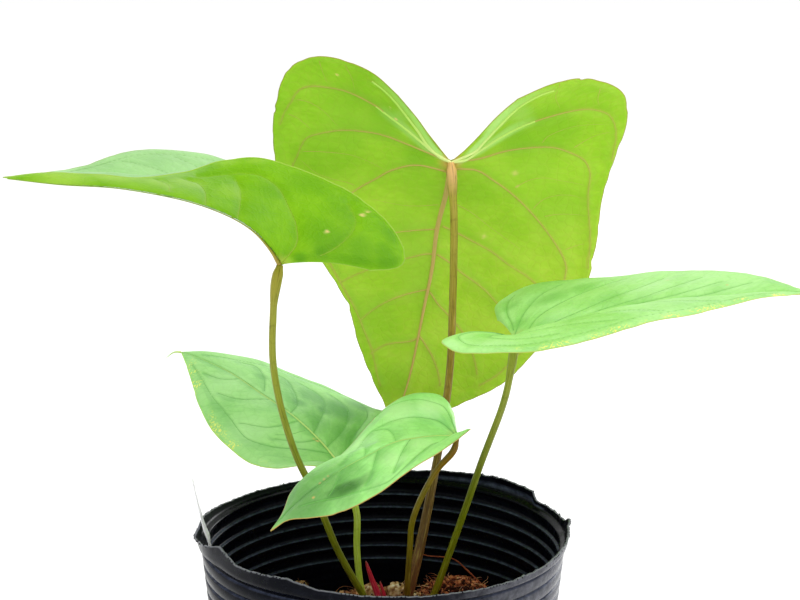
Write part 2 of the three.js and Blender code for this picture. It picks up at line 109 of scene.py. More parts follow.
def dress(tree, surface, colour, height, strength, depth):
    # colour and relief reach the surface; the relief is depth millimetres deep
    tree.links.new(colour, surface.inputs["Base Color"])
    relief = addNode(tree, "ShaderNodeBump", {"Height": height, "Strength": strength, "Distance": depth * mm})
    tree.links.new(relief.outputs[0], surface.inputs["Normal"])


def smooth(value, low, high):
    share = min(1, max(0, (value - low) / (high - low)))
    return share * share * (3 - 2 * share)


def through(points):
    # smooth curve through points, as a function of the share of the way from the first to the last
    knots = [Vector(point) for point in points]
    last = len(knots) - 1
    before = [2 * knots[0] - knots[1], *knots, 2 * knots[last] - knots[last - 1]]

    def at(share):
        part = min(last - 1, int(share * last))
        f = share * last - part
        a, b, c, d = before[part:part + 4]
        return b + 0.5 * f * ((c - a) + f * ((2 * a - 5 * b + 4 * c - d) + f * (3 * b - a - 3 * c + d)))

    return at


def evenPath(points, step, finer=400):
    # the same curve as a list of places that are a step apart
    at = through(points)
    dense = [at(i / finer) for i in range(finer + 1)]
    lengths = [0]
    for a, b in zip(dense, dense[1:]):
        lengths.append(lengths[-1] + (b - a).length)
    count = max(3, round(lengths[-1] / step))
    path, j = [], 0
    for i in range(count + 1):
        goal = lengths[-1] * i / count
        while j < finer - 1 and lengths[j + 1] < goal:
            j += 1
        gap = lengths[j + 1] - lengths[j]
        path.append(dense[j].lerp(dense[j + 1], (goal - lengths[j]) / gap if gap else 0))
    return path, lengths[-1]


def taper(path, first, last):
    # radii in metres that change evenly along the path, from first to last millimetres
    count = len(path) - 1
    return [(first + (last - first) * i / count) * mm for i in range(count + 1)]


def draw(rng, ranges):
    # one random number from each range
    return [rng.uniform(low, high) for low, high in ranges]


def finder(places):
    # a tree that finds the place nearest to a point
    tree = KDTree(len(places))
    for i, place in enumerate(places):
        tree.insert(place, i)
    tree.balance()
    return tree


def growTube(bm, path, widths, heights=None, ups=None, sides=12, material=0, ridges=None, tone=None,
             flat=False):
    # a grid is rolled round the path, closed at both ends and added to bm
    # run and grain say where on the tube a point lies
    heights = heights or widths
    tube = bmesh.new()
    run = tube.verts.layers.float.new("run")
    grain = tube.verts.layers.float_vector.new("grain")
    count = len(path) - 1
    tangents = [(path[min(i + 1, count)] - path[max(i - 1, 0)]).normalized() for i in range(count + 1)]
    lift = Vector((0, -1, 0.3)) if abs(tangents[0].y) < 0.8 else Vector((1, 0, 0.3))
    lengths, frames = [0], []
    for i in range(count + 1):
        lift = ups[i] if ups else lift
        lift = (lift - lift.dot(tangents[i]) * tangents[i]).normalized()
        frames.append((tangents[i].cross(lift), lift))
        if i:
            lengths.append(lengths[-1] + (path[i] - path[i - 1]).length)
    bmesh.ops.create_grid(tube, x_segments=sides, y_segments=count + 2, size=0.5)
    for vert in tube.verts:
        turn = (vert.co.x + 0.5) * 2 * math.pi
        row = round((vert.co.y + 0.5) * (count + 2)) - 1
        i = min(count, max(0, row))
        swell = 0 if row != i else 1 + (ridges(turn, lengths[i]) if ridges else 0)
        across, up = frames[i]
        vert[run] = i / count
        vert[grain] = (math.cos(turn), math.sin(turn), lengths[i] / mm)
        vert.co = path[i] + (across * math.cos(turn) * widths[i] + up * math.sin(turn) * heights[i]) * swell
    bmesh.ops.remove_doubles(tube, verts=tube.verts, dist=1e-7)
    if tone is not None:
        layer = tube.verts.layers.float.new("tone")
        for vert in tube.verts:
            vert[layer] = tone
    for face in tube.faces:
        face.smooth = not flat
        face.material_index = material
    bmesh.ops.recalc_face_normals(tube, faces=tube.faces)
    appendTo(bm, tube)


def appendTo(bm, part):
    mesh = bpy.data.meshes.new("part")
    part.to_mesh(mesh)
    part.free()
    bm.from_mesh(mesh)
    bpy.data.meshes.remove(mesh)


def finishPiece(bm, name, slot, nodes, materials, recalculate=True):
    if recalculate:
        bmesh.ops.recalc_face_normals(bm, faces=bm.faces)
    mesh = bpy.data.meshes.new(name)
    bm.to_mesh(mesh)
    bm.free()
    piece = bpy.data.objects.new(name, mesh)
    bpy.context.scene.collection.objects.link(piece)
    for material in materials:
        mesh.materials.append(material)
    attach(piece, "root")
    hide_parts(*nodes)
    mesh.calc_loop_triangles()
    print(f"{name}: {len(mesh.loop_triangles)} triangles")
    return piece


# Colours of a fresh leaf from below, which three leaves share
freshUnder = {"base": "#86c94a", "glow": "#9bd65c", "deep": "#6fb53a", "patch": "#6fb53a",
              "pale": "#b6e07a", "vein": "#a7b548", "keel": "#a7b548", "halo": "#98bf4e", "edge": "#b9c860",
              "edgeWidth": 0.5, "shine": 0.2}
# Leaves: outlines run from the tip round the side to the inner edge of the lobe, midribs from base to tip.
# A vein is listed by the pixels where the picture shows it; veinWidths is for the ends of a large vein.
# pale and tan are spots of colour, and the third kind of spot is painted shade in hollows and under folds;
# all give a pixel, radius and strength. A band joins a row of such spots.
# A nick has a pixel, a width and a depth. Slopes facing lit get painted highlight, the others painted shade.
leaves = {
    "back": {
        "lobeStart": 0.62, "arch": {"left": 0.03, "right": 0.03}, "rows": 256, "columns": 60,
        "midrib": [(28.4, 46, 282.8), (26.8, 51, 270), (23, 59, 252), (21, 66, 233), (18, 72, 216),
                   (15, 77, 199), (11, 81, 179), (3, 86, 150)],
        "left": [(3, 86, 150), (1, 84, 163), (-6, 80, 180), (-12, 75, 198), (-16, 71, 215), (-24, 66, 231),
                 (-33, 60, 247), (-40, 54, 264), (-45, 48, 280), (-46, 41, 296), (-44, 34, 310),
                 (-39, 29, 323), (-29, 25, 329), (-16, 24, 328), (-3, 25, 322), (7, 30, 312)],
        "right": [(3, 86, 150), (18, 84, 159), (37, 81, 168), (54, 78, 178), (67, 74, 193), (80, 69, 210),
                  (89, 64, 228), (92, 58, 248), (93, 52, 266), (97, 45, 284), (101, 38, 301), (98, 31, 314),
                  (84, 26, 320), (68, 25, 318), (54, 29, 311)],
        "stalk": [(29.6, 38, 260), (29.2, 31, 230), (28, 24, 200), (24.6, 17, 174), (18.8, 8, 144),
                  (14.6, 2, 125), (10.4, -2, 109), (8.4, -3, 102)],
        "joint": 2.3, "middle": 1.6, "foot": 2.3, "footLength": 85, "slot": "stalk_brown",
        "veinWidths": (0.7, 0.28), "lit": (-0.4, 0.2, -0.8),
        "veins": [[(385, 113), (378, 107), (362, 98), (346, 91), (326, 87), (311, 86), (299, 90),
                   (292, 100), (285, 111), (280, 124)],
                  [(446, 164), (412, 146), (383, 135), (346, 130), (326, 132), (308, 137), (301, 146),
                   (297, 156), (290, 172)],
                  [(446, 165), (418, 165), (392, 170), (375, 179), (357, 189), (338, 205), (326, 228),
                   (325, 252), (338, 278), (352, 303), (362, 325), (372, 351), (380, 385)],
                  [(527, 124), (538, 120), (562, 113), (584, 109), (601, 111), (611, 117), (616, 138),
                   (612, 160)],
                  [(458, 165), (476, 159), (501, 152), (525, 148), (550, 147), (569, 152), (584, 160),
                   (590, 173), (589, 185), (588, 197), (589, 217), (590, 244), (588, 268)],
                  [(459, 167), (476, 170), (493, 180), (510, 192), (528, 209), (545, 229), (560, 251),
                   (566, 266), (564, 280), (552, 305), (538, 330), (515, 358), (480, 385)]],
        "smallVeins": [[(436, 229), (398, 232), (360, 240), (333, 258)],
                       [(435, 254), (424, 254), (407, 258), (372, 268), (341, 282)],
                       [(430, 290), (403, 295), (380, 305), (360, 320)],
                       [(420, 339), (410, 341), (387, 344), (371, 353)],
                       [(443, 226), (458, 233), (469, 239), (491, 251), (508, 264), (533, 281), (549, 305)],
                       [(437, 254), (452, 264), (461, 272), (484, 289), (497, 303), (520, 335)],
                       [(430, 292), (439, 305), (454, 321), (466, 338), (477, 374)],
                       [(419, 335), (432, 356), (440, 385)]],
        "finestVeins": [[(293, 99), (311, 104), (326, 114), (339, 128)],
                        [(302, 152), (338, 154), (358, 158), (383, 169)], [(319, 62), (323, 74), (329, 86)],
                        [(288, 114), (300, 121), (312, 131)], [(345, 66), (352, 80), (356, 94)],
                        [(515, 188), (530, 181), (545, 179), (562, 182), (587, 186)],
                        [(545, 217), (560, 215), (587, 216)],
                        [(542, 143), (550, 136), (572, 128), (604, 125)],
                        [(574, 148), (592, 138), (611, 132)], [(560, 84), (556, 98), (560, 112)],
                        [(600, 90), (598, 100), (600, 110)], [(566, 250), (577, 246), (590, 243)],
                        [(530, 212), (545, 200), (566, 196), (588, 200)],
                        [(365, 190), (350, 184), (320, 176), (300, 160)],
                        [(440, 205), (420, 207), (400, 206), (372, 200)],
                        [(456, 205), (472, 214), (490, 228), (520, 250)]],
        "brightVeins": [[(448, 162), (440, 157), (429, 147), (420, 134), (412, 123), (403, 111), (394, 100),
                         (384, 90), (372, 81)],
                        [(456, 163), (472, 153), (483, 143), (493, 132), (502, 123), (512, 113), (525, 103),
                         (540, 95), (554, 90)],
                        [(448, 163), (436, 154), (425, 145), (412, 134), (402, 126), (385, 113),
                         (376, 106)],
                        [(456, 165), (465, 160), (476, 153), (491, 143), (506, 134), (520, 127),
                         (535, 121)]],
        "sinus": 2.2, "heart": 0.8,
        "nicks": [(571, 86, 1.6, 0.9), (590, 262, 2.5, 0.6), (283, 112, 2, 0.5), (352, 305, 2.5, 0.6)],
        "pale": [(400, 118, 4, 0.25), (520, 115, 5, 0.25)],
        "bands": [[(445, 160, 1.2, 1), (433, 146, 2, 0.9), (424, 131, 2.3, 0.85), (415, 117, 2.5, 0.75),
                   (404, 104, 2.8, 0.6), (392, 91, 3, 0.4), (378, 80, 3, 0.15)],
                  [(440, 157, 1.2, 0.6), (426, 147, 1.8, 0.6), (412, 135, 2.2, 0.6), (399, 124, 2.5, 0.5),
                   (382, 111, 2.8, 0.15)],
                  [(459, 163, 1.2, 1), (470, 154, 2, 1), (481, 142, 2.6, 1), (491, 129, 3, 1),
                   (503, 116, 3, 0.9), (516, 105, 3, 0.7), (532, 95, 3, 0.4), (550, 90, 3, 0.15)],
                  [(466, 159, 1.2, 0.6), (480, 151, 1.8, 0.75), (495, 141, 2.2, 0.75), (512, 130, 2.6, 0.6),
                   (532, 120, 3, 0.2)]],
        "paintedShade": [(400, 240, 14, 0.35), (415, 275, 10, 0.3), (385, 120, 9, 0.5), (420, 155, 7, 0.5),
                 (352, 112, 12, 0.35), (326, 160, 13, 0.3), (550, 128, 12, 0.45), (520, 140, 8, 0.55),
                 (530, 165, 12, 0.3), (560, 205, 11, 0.3), (480, 190, 10, 0.25), (425, 190, 10, 0.25),
                 (372, 315, 11, 0.35), (392, 380, 8, 0.35), (350, 145, 6, 0.35), (400, 215, 7, 0.25),
                 (500, 300, 8, 0.25), (420, 300, 8, 0.2)],
        "tan": [(337, 76, 0.5, 1), (390, 109, 0.4, 1), (396, 119, 0.4, 1), (515, 174, 1.2, 0.5),
                (484, 237, 1, 0.5), (518, 187, 0.6, 0.6)],
        "under": {"base": "#acd634", "glow": "#c2e44e", "deep": "#8cc02a", "patch": "#84bc26",
                  "pale": "#d0f694", "vein": "#d2b264", "keel": "#c8a860", "halo": "#bcbe50",
                  "edge": "#a8a03a", "edgeWidth": 0.4, "shine": 0.2},
        "upper": {"base": "#5fa02a", "glow": "#7bb53a", "deep": "#47841f", "patch": "#47841f",
                  "pale": "#8cc860", "vein": "#b9c65a", "halo": "#4d8a22", "edge": "#a08a3a",
                  "edgeWidth": 0.5, "shine": 0.4},
    },
    "left": {
        "lobeStart": 0.58, "arch": {"left": 0.05, "right": 0.05}, "rows": 208, "columns": 50,
        "midrib": [(-40, -11, 251), (-44, -13, 258), (-51, -15, 266), (-62, -18, 273), (-78, -21, 279),
                   (-101, -25, 284), (-123, -28, 286), (-144, -31, 289)],
        "left": [(-144, -31, 289), (-125, -38, 292), (-105, -50, 293), (-86, -61, 294), (-70, -67, 297),
                 (-58, -69, 301), (-45, -66, 302), (-32, -61, 298), (-19, -57, 292), (-6, -55, 284),
                 (4, -53, 274), (9, -51, 263), (6, -46, 257), (-4, -37, 254)],
        "right": [(-144, -31, 289), (-129, -26, 290), (-115, -14, 291), (-102, 0, 294), (-88, 14, 293),
                  (-73, 28, 289), (-60, 38, 283), (-47, 43, 277), (-33, 44, 270), (-19, 42, 264),
                  (-8, 36, 258), (-5, 26, 252), (-10, 14, 249)],
        "stalk": [(-42, -14, 243), (-43, -17, 231), (-43, -22, 215), (-40, -27, 198), (-34, -29, 178),
                  (-26.6, -26, 160), (-18.2, -20, 135), (-8.2, -13, 113), (-2.6, -9, 102.2)],
        "joint": 2.2, "middle": 1.4, "foot": 1.65, "slot": "stalk_olive", "veinWidths": (0.5, 0.24),
        "keelTaper": 5, "lit": (0.5, 0.3, -0.7),
        "veins": [[(283, 264), (295, 247), (297, 228), (289, 207), (279, 188), (262, 176), (241, 173),
                   (220, 175), (198, 177)]],
        "smallVeins": [[(238, 218), (241, 194), (236, 180)],
                       [(206, 204), (205, 191), (198, 183), (187, 180)],
                       [(170, 191), (168, 184), (158, 180)],
                       [(285, 264), (321, 255), (343, 242), (356, 223), (348, 204)]],
        "commonVeins": ["right"],
        "pale": [(286, 262, 3, 0.6), (230, 164, 4, 0.4), (256, 162, 4, 0.4), (110, 178, 8, 0.5),
                 (60, 178, 10, 0.6), (190, 184, 7, 0.4), (230, 192, 6, 0.35), (160, 184, 6, 0.4)],
        "paintedShade": [(330, 240, 10, 0.45), (360, 250, 8, 0.5), (275, 190, 7, 0.3), (305, 185, 8, 0.35),
                 (384, 258, 6, 0.6), (340, 215, 7, 0.3), (322, 252, 4, 0.6), (300, 258, 2.5, 0.6),
                 (250, 210, 6, 0.25), (390, 236, 4, 0.4)],
        "tan": [(362, 216, 0.9, 1), (367, 213, 0.7, 1), (326, 233, 0.8, 1)],
        "under": {"base": "#82be0e", "glow": "#98ce24", "deep": "#66a60c", "patch": "#5a9c0c",
                  "pale": "#b4dc50", "vein": "#9cb82c", "keel": "#a8863a", "halo": "#8cc01e",
                  "edge": "#a4c850", "edgeWidth": 0.45, "shine": 0.15},
        "upper": {"base": "#90c474", "glow": "#a6d68c", "deep": "#74ac5c", "patch": "#74ac5c",
                  "pale": "#b8e0a4", "vein": "#8cbc6c", "halo": "#80b464", "edge": "#9db860",
                  "edgeWidth": 0.5, "shine": 0.4},
    },
    "right": {
        "lobeStart": 0.64, "arch": {"left": 0.05, "right": 0.05}, "rows": 208, "columns": 50,
        "midrib": [(52, -20, 223), (60, -23, 227), (73, -28, 232), (89, -33, 237), (106, -40, 242),
                   (125, -47, 245), (142, -53, 248), (160, -58, 250)],
        "left": [(160, -58, 250), (154, -51, 251), (146, -40, 252), (136, -26, 251), (125, -10, 248),
                 (112, 6, 244), (99, 20, 239), (86, 31, 236), (75, 39, 233), (63, 43, 230), (53, 40, 226),
                 (47, 30, 224), (47, 14, 222)],
        "right": [(160, -58, 250), (151, -62, 250), (138, -67, 250), (124, -73, 248), (110, -78, 246),
                  (95, -81, 244), (82, -82, 240), (68, -81, 236), (55, -79, 233), (42, -74, 231.2),
                  (29, -67, 229.4), (22.5, -56, 230.6), (28, -44, 230.4), (38, -33, 227)],
        "stalk": [(51, -21, 212), (48, -17, 195), (40, -10, 169), (34, -5, 148), (27, -1, 125),
                  (21, -1, 108), (17, -2, 102.2)],
        "joint": 1.9, "middle": 1.4, "foot": 1.5, "slot": "stalk_olive", "veinWidths": (0.5, 0.24),
        "lit": (-0.7, -0.2, 0.3),
        "veins": [[(516, 333), (521, 321), (531, 306), (543, 295), (562, 286)],
                  [(520, 333), (538, 319), (560, 305), (584, 294), (606, 286), (628, 280)]],
        "smallVeins": [[(514, 331), (509, 318), (508, 306), (516, 296)],
                       [(556, 325), (584, 311), (612, 299), (640, 289), (664, 280)],
                       [(592, 317), (618, 306), (648, 297), (680, 286), (702, 279)],
                       [(630, 309), (660, 300), (690, 292), (722, 283)],
                       [(672, 302), (700, 297), (728, 290), (752, 284)]],
        "finestVeins": [[(536, 320), (552, 310), (572, 299)], [(640, 300), (662, 292), (684, 284)]],
        "commonVeins": ["right"],
        "pale": [(508, 300, 6, 0.5), (524, 290, 5, 0.5), (560, 318, 7, 0.3), (650, 290, 9, 0.4),
                 (500, 345, 8, 0.3), (700, 284, 9, 0.25), (740, 288, 8, 0.2), (455, 345, 4, 0.4)],
        "paintedShade": [(520, 325, 4, 0.5), (552, 300, 7, 0.55), (585, 290, 6, 0.45), (545, 326, 5, 0.5),
                 (610, 300, 7, 0.4), (580, 320, 6, 0.35), (512, 308, 4, 0.4), (640, 302, 6, 0.35),
                 (720, 290, 5, 0.3)],
        "tan": [(668, 283, 0.5, 0.8), (728, 287, 0.4, 0.8)], "freckled": "right", "under": freshUnder,
        "upper": {"base": "#9edc74", "glow": "#b6ec92", "deep": "#76c050", "patch": "#68b446",
                  "pale": "#c0f0a4", "vein": "#70b252", "halo": "#80c45c", "edge": "#b9d070",
                  "edgeWidth": 0.4, "shine": 0.5},
    },
    "middle": {
        "lobeStart": 0.62, "arch": {"left": 0.06, "right": 0.06}, "rows": 192, "columns": 46,
        "midrib": [(-16, 14, 157), (-21, 18, 162), (-28, 25, 168), (-39, 35, 175), (-53, 47, 181),
                   (-67, 59, 187), (-80, 70, 190), (-91, 78, 192)],
        "left": [(-91, 78, 192), (-88, 69, 189), (-84, 56, 184), (-80, 43, 178), (-73, 28, 171),
                 (-65, 16, 167), (-55, 4, 164), (-44, -6, 165), (-33, -12, 168), (-25, -14, 168),
                 (-18, -10, 164)],
        "right": [(-91, 78, 192), (-83, 80, 192), (-71, 85, 189), (-56, 88, 185), (-42, 88, 179),
                  (-26, 85, 174), (-11, 77, 169), (4, 65, 167), (14, 52, 166), (16, 39, 164), (7, 28, 161)],
        "stalk": [(-14, 11, 150), (-11, 8, 140), (-11, 6, 125), (-9, 4, 108), (-5, 2, 102.1)], "joint": 1.7,
        "middle": 1.4, "foot": 1.3, "slot": "stalk_pale", "veinWidths": (0.45, 0.22),
        "lit": (-0.6, -0.5, 0.3),
        "veins": [[(331, 455), (300, 450), (274, 448), (248, 440), (231, 420), (211, 395), (193, 366)],
                  [(334, 455), (352, 440), (366, 420), (360, 405), (330, 391), (290, 376), (240, 362),
                   (205, 356)]],
        "smallVeins": [[(318, 440), (300, 443), (275, 440)], [(298, 422), (270, 428), (240, 424)],
                       [(270, 400), (240, 400), (218, 394)], [(240, 380), (222, 380), (204, 374)],
                       [(313, 434), (322, 416), (324, 404), (317, 395), (300, 385)],
                       [(290, 414), (297, 405), (294, 393), (286, 381), (272, 374)],
                       [(264, 392), (264, 380), (256, 368), (242, 364)],
                       [(324, 448), (340, 434), (348, 420), (345, 408), (330, 396)]],
        "finestVeins": [[(305, 432), (290, 436), (275, 436)], [(335, 428), (345, 428), (352, 424)]],
        "pale": [(260, 400, 8, 0.3), (225, 385, 9, 0.4), (250, 430, 9, 0.4), (295, 445, 6, 0.3),
                 (345, 398, 3, 0.4)],
        "paintedShade": [(340, 412, 10, 0.75), (357, 408, 6, 0.5), (312, 398, 8, 0.6), (345, 435, 8, 0.5),
                 (285, 384, 6, 0.35), (325, 412, 4, 0.7), (299, 404, 3, 0.6), (318, 425, 7, 0.35),
                 (262, 378, 3, 0.4)],
        "tan": [(317, 442, 0.6, 1), (314, 440, 0.5, 0.8)], "freckled": "left",
        "drip": [(182, 353), (178, 352.6), (173, 354), (167, 359)], "under": freshUnder,
        "upper": {"base": "#90ce72", "glow": "#a8de88", "deep": "#5aa448", "patch": "#4a943e",
                  "pale": "#b8e69e", "vein": "#60a44c", "halo": "#72b656", "edge": "#a8d850",
                  "edgeWidth": 0.5, "shine": 0.5},
    },
    "front": {
        "lobeStart": 0.62, "arch": {"left": 0.045, "right": 0.08}, "rows": 192, "columns": 46,
        "midrib": [(30, -19, 182), (23, -24, 184), (14, -30, 185), (5, -36, 185), (-5, -43, 182),
                   (-16, -50, 178), (-28, -57, 171), (-42, -64, 159)],
        "left": [(-42, -64, 159), (-35, -66, 164), (-27, -69, 166), (-18, -71, 168), (-9, -72, 172),
                 (0, -71, 177), (8, -67, 182), (18, -60, 186.5), (26, -51, 189), (32, -42, 190.8),
                 (34.5, -37, 191.2)],
        "right": [(-42, -64, 159), (-38, -60, 164), (-35, -52, 170), (-30, -42, 173), (-22, -31, 174),
                  (-14, -20, 178), (-6, -9, 184), (2, 2, 189), (12, 10, 192), (23, 14, 190), (29, 8, 185)],
        "stalk": [(28, -19, 176), (22, -17, 168), (16, -14, 156), (12, -12, 144), (11, -11, 132),
                  (10, -11, 114), (10, -11, 101.4)],
        "joint": 1.4, "middle": 1.2, "foot": 1.3, "slot": "stalk_golden", "veinWidths": (0.4, 0.2),
        "lit": (0.6, -0.3, 0.5),
        "veins": [[(456, 434), (442, 424), (425, 419), (405, 419), (384, 426), (364, 442), (340, 466)],
                  [(456, 433), (446, 411), (431, 403), (411, 401), (395, 405), (375, 418)],
                  [(455, 437), (438, 444), (420, 455), (404, 470), (390, 482), (366, 491), (330, 500),
                   (300, 508)]],
        "smallVeins": [[(378, 451), (372, 473), (366, 487)], [(342, 470), (335, 487), (329, 497)],
                       [(405, 440), (400, 458), (394, 474)], [(364, 458), (362, 446), (352, 443)],
                       [(396, 442), (390, 432), (374, 432)]],
        "pale": [(400, 412, 8, 0.5), (430, 408, 7, 0.6), (420, 445, 6, 0.4), (395, 462, 5, 0.4),
                 (355, 446, 5, 0.3)],
        # painted shadow under the fold of the near half
        "paintedShadeBands": [[(312, 502, 3, 0.35), (326, 498, 4.2, 0.6), (341, 492, 5, 0.85),
                       (354, 487, 4.8, 0.85), (364, 481, 3.4, 0.5), (371, 474, 2.4, 0.25)]],
        "paintedShade": [(303, 503, 14, 0.62), (325, 488, 12, 0.5), (286, 515, 7, 0.5), (345, 503, 6, 0.35),
                 (308, 484, 7, 0.5), (343, 474, 8, 0.35), (382, 457, 5, 0.2), (375, 488, 4, 0.2)],
        "tan": [(314, 499, 0.5, 1), (320, 484, 0.4, 0.8), (324, 480, 0.35, 0.8), (328, 477, 0.3, 0.8)],
        "under": {**freshUnder, "vein": "#b5a848", "keel": "#b09a48", "edge": "#b99a50", "edgeWidth": 0.4},
        "upper": {"base": "#a0e880", "glow": "#bcf69a", "deep": "#66b44c", "patch": "#226010",
                  "pale": "#d0fcb2", "vein": "#66ac50", "halo": "#7cca5e", "edge": "#c4a860",
                  "edgeWidth": 0.35, "shine": 0.6},
    },
}
# Veins of a half that the picture hides, as shares of the way round the edge and out from the midrib
commonVeins = [
    [(0.93, 0), (0.92, 0.45), (0.85, 0.75), (0.72, 0.84), (0.55, 0.86), (0.38, 0.86), (0.2, 0.84),
     (0.09, 0.7)],
    [(0.82, 0), (0.78, 0.4), (0.68, 0.62), (0.54, 0.74)],
    [(0.7, 0), (0.64, 0.3), (0.52, 0.5), (0.42, 0.78)],
    [(0.5, 0), (0.42, 0.35), (0.33, 0.8)],
    [(0.36, 0), (0.29, 0.35), (0.22, 0.78)],
    [(0.22, 0), (0.17, 0.35), (0.12, 0.7)],
]

# Lengths are in millimetres, noise scales in waves a millimetre and freckleRun in shares of the way round.
bladeShape = {
    "halfThickness": 0.2, "nearVein": 0.22, "nearReach": 3, "rimShare": 0.55, "rimReach": 1.2,
    "quilt": 1, "quiltReach": 2.6, "quiltEdge": 5, "ripple": 0.35, "rippleScale": 0.07, "rippleReach": 6,
    "flutter": 0.3, "flutterScale": 0.13, "flutterReach": (2, 8), "paintedHillShadingGain": 1.8, "wavyEdge": 0.9,
    "wavyScale": 0.16, "midribSteps": 120, "keelSteps": 90, "bandSteps": 10, "heart": (1, 7),
    "freckleBand": (1.5, 6), "freckleRun": (0.04, 0.12, 0.6, 0.75),
}
# What the skin reads at each point. Two are painted light: highlight and shade on quilted slopes, and shade
# spots.
bladeFacts = ("vein", "margin", "pale", "paintedShade", "tan", "heart", "freckle", "paintedHillShading")
# Places of the blade's materials on its mesh
bladeSlots = {"upper": 0, "under": 1, "veinUnder": 2, "veinUpper": 3, "veinBright": 4, "midribUpper": 5,
              "midribUnder": 6}


def bladeAt(leaf):
    # the blade's middle surface: straight ribs from midrib to edge that arch on the way
    midrib = through(leaf["midrib"])
    base, tip = midrib(0), midrib(1)
    edges = {side: through(leaf[side]) for side in ("left", "right")}
    ups = {}
    for side, edge in edges.items():
        up = (tip - base).cross(edge(0.5) - base) if side == "left" else (edge(0.5) - base).cross(tip - base)
        ups[side] = up.normalized()

    def at(side, t, s):
        along = 1 - t / leaf["lobeStart"]
        foot = midrib(along) if along > 0 else base
        reach = edges[side](t) - foot
        rise = leaf["arch"][side] * reach.length * 4 * s * (1 - s)
        return (foot + reach * s + ups[side] * rise) * mm

    return at, ups


def startBlade(leaf):
    # middle surface as a bmesh, with each vertex's share round the edge and out from the midrib
    at, ups = bladeAt(leaf)
    bm = bmesh.new()
    shares = {name: bm.verts.layers.float.new(name) for name in ("round", "out", "half")}
    for half, side in enumerate(("left", "right")):
        made = bmesh.ops.create_grid(bm, x_segments=leaf["columns"], y_segments=leaf["rows"], size=0.5)
        for vert in made["verts"]:
            t, s = vert.co.y + 0.5, vert.co.x + 0.5
            vert[shares["round"]], vert[shares["out"]], vert[shares["half"]] = t, s, half
            vert.co = at(side, t, s)
    bmesh.ops.remove_doubles(bm, verts=bm.verts, dist=1e-6)
    bm.normal_update()
    bm.faces.ensure_lookup_table()
    girth = sum(math.dist(a, b) for a, b in zip(leaf["left"], leaf["left"][1:]))
    hits = BVHTree.FromBMesh(bm)
    return SimpleNamespace(leaf=leaf, at=at, ups=ups, bm=bm, shares=shares, girth=girth, hits=hits)


def normalAt(blade, side, t, s):
    t = min(0.995, max(0.005, t))
    s = min(0.99, max(0.03, s))
    a = blade.at(side, min(1, t + 0.004), s) - blade.at(side, t - 0.004, s)
    b = blade.at(side, t, s + 0.01) - blade.at(side, t, s - 0.01)
    normal = a.cross(b).normalized()
    return normal if normal.dot(blade.ups[side]) > 0 else -normal


def midribNormal(blade, t):
    return (normalAt(blade, "left", t, 0.04) + normalAt(blade, "right", t, 0.04)).normalized()


def seenOnBlade(blade, seen):
    # the blade's own shares, half and place where the picture shows a pixel
    hit, _, index, _ = blade.hits.ray_cast(camera.location, sightLine(seen))
    if index is None:
        return None
    corners = blade.bm.faces[index].verts
    weights = poly_3d_calc([corner.co for corner in corners], hit)
    t, s, half = [sum(w * corner[blade.shares[name]] for w, corner in zip(weights, corners))
                  for name in ("round", "out", "half")]
    return t, s, "right" if half > 0.5 else "left", hit


def veinPaths(blade):
    # each vein's kind, half of the blade, shares there and width at both ends
    leaf = blade.leaf
    wide, narrow = leaf["veinWidths"]
    sizes = {"veins": (wide, narrow), "smallVeins": (0.7 * wide, narrow),
             "finestVeins": (narrow, 0.6 * narrow), "brightVeins": (1.9 * wide, 1.2 * wide)}
    paths = []
    for kind, (first, last) in sizes.items():
        for seen in leaf.get(kind, []):
            hits = [hit for hit in (seenOnBlade(blade, place) for place in seen) if hit]
            sides = [hit[2] for hit in hits]
            side = max(("left", "right"), key=sides.count)
            shares = [(t, s if hitSide == side else 0) for t, s, hitSide, _ in hits]
            if len(shares) > 1:
                if shares[0][1] < 0.08 and shares[0][0] > leaf["lobeStart"] - 0.1:
                    shares[0] = (shares[1][0], 0)  # this vein leaves the blade's base
                paths.append((kind, side, evenVein(shares), first, last))
    for side in leaf.get("commonVeins", []):
        for rank, shares in enumerate(commonVeins):
            kind, share = ("veins", 1) if rank < 2 else ("smallVeins", 0.7)
            paths.append((kind, side, evenVein(shares), share * wide, narrow))
    return paths


def evenVein(shares):
    curve = through([(t, s, 0) for t, s in shares])
    steps = 14 * (len(shares) - 1)
    flat = [curve(i / steps) for i in range(steps + 1)]
    return [(min(1, max(0, place.x)), min(1, max(0, place.y))) for place in flat]


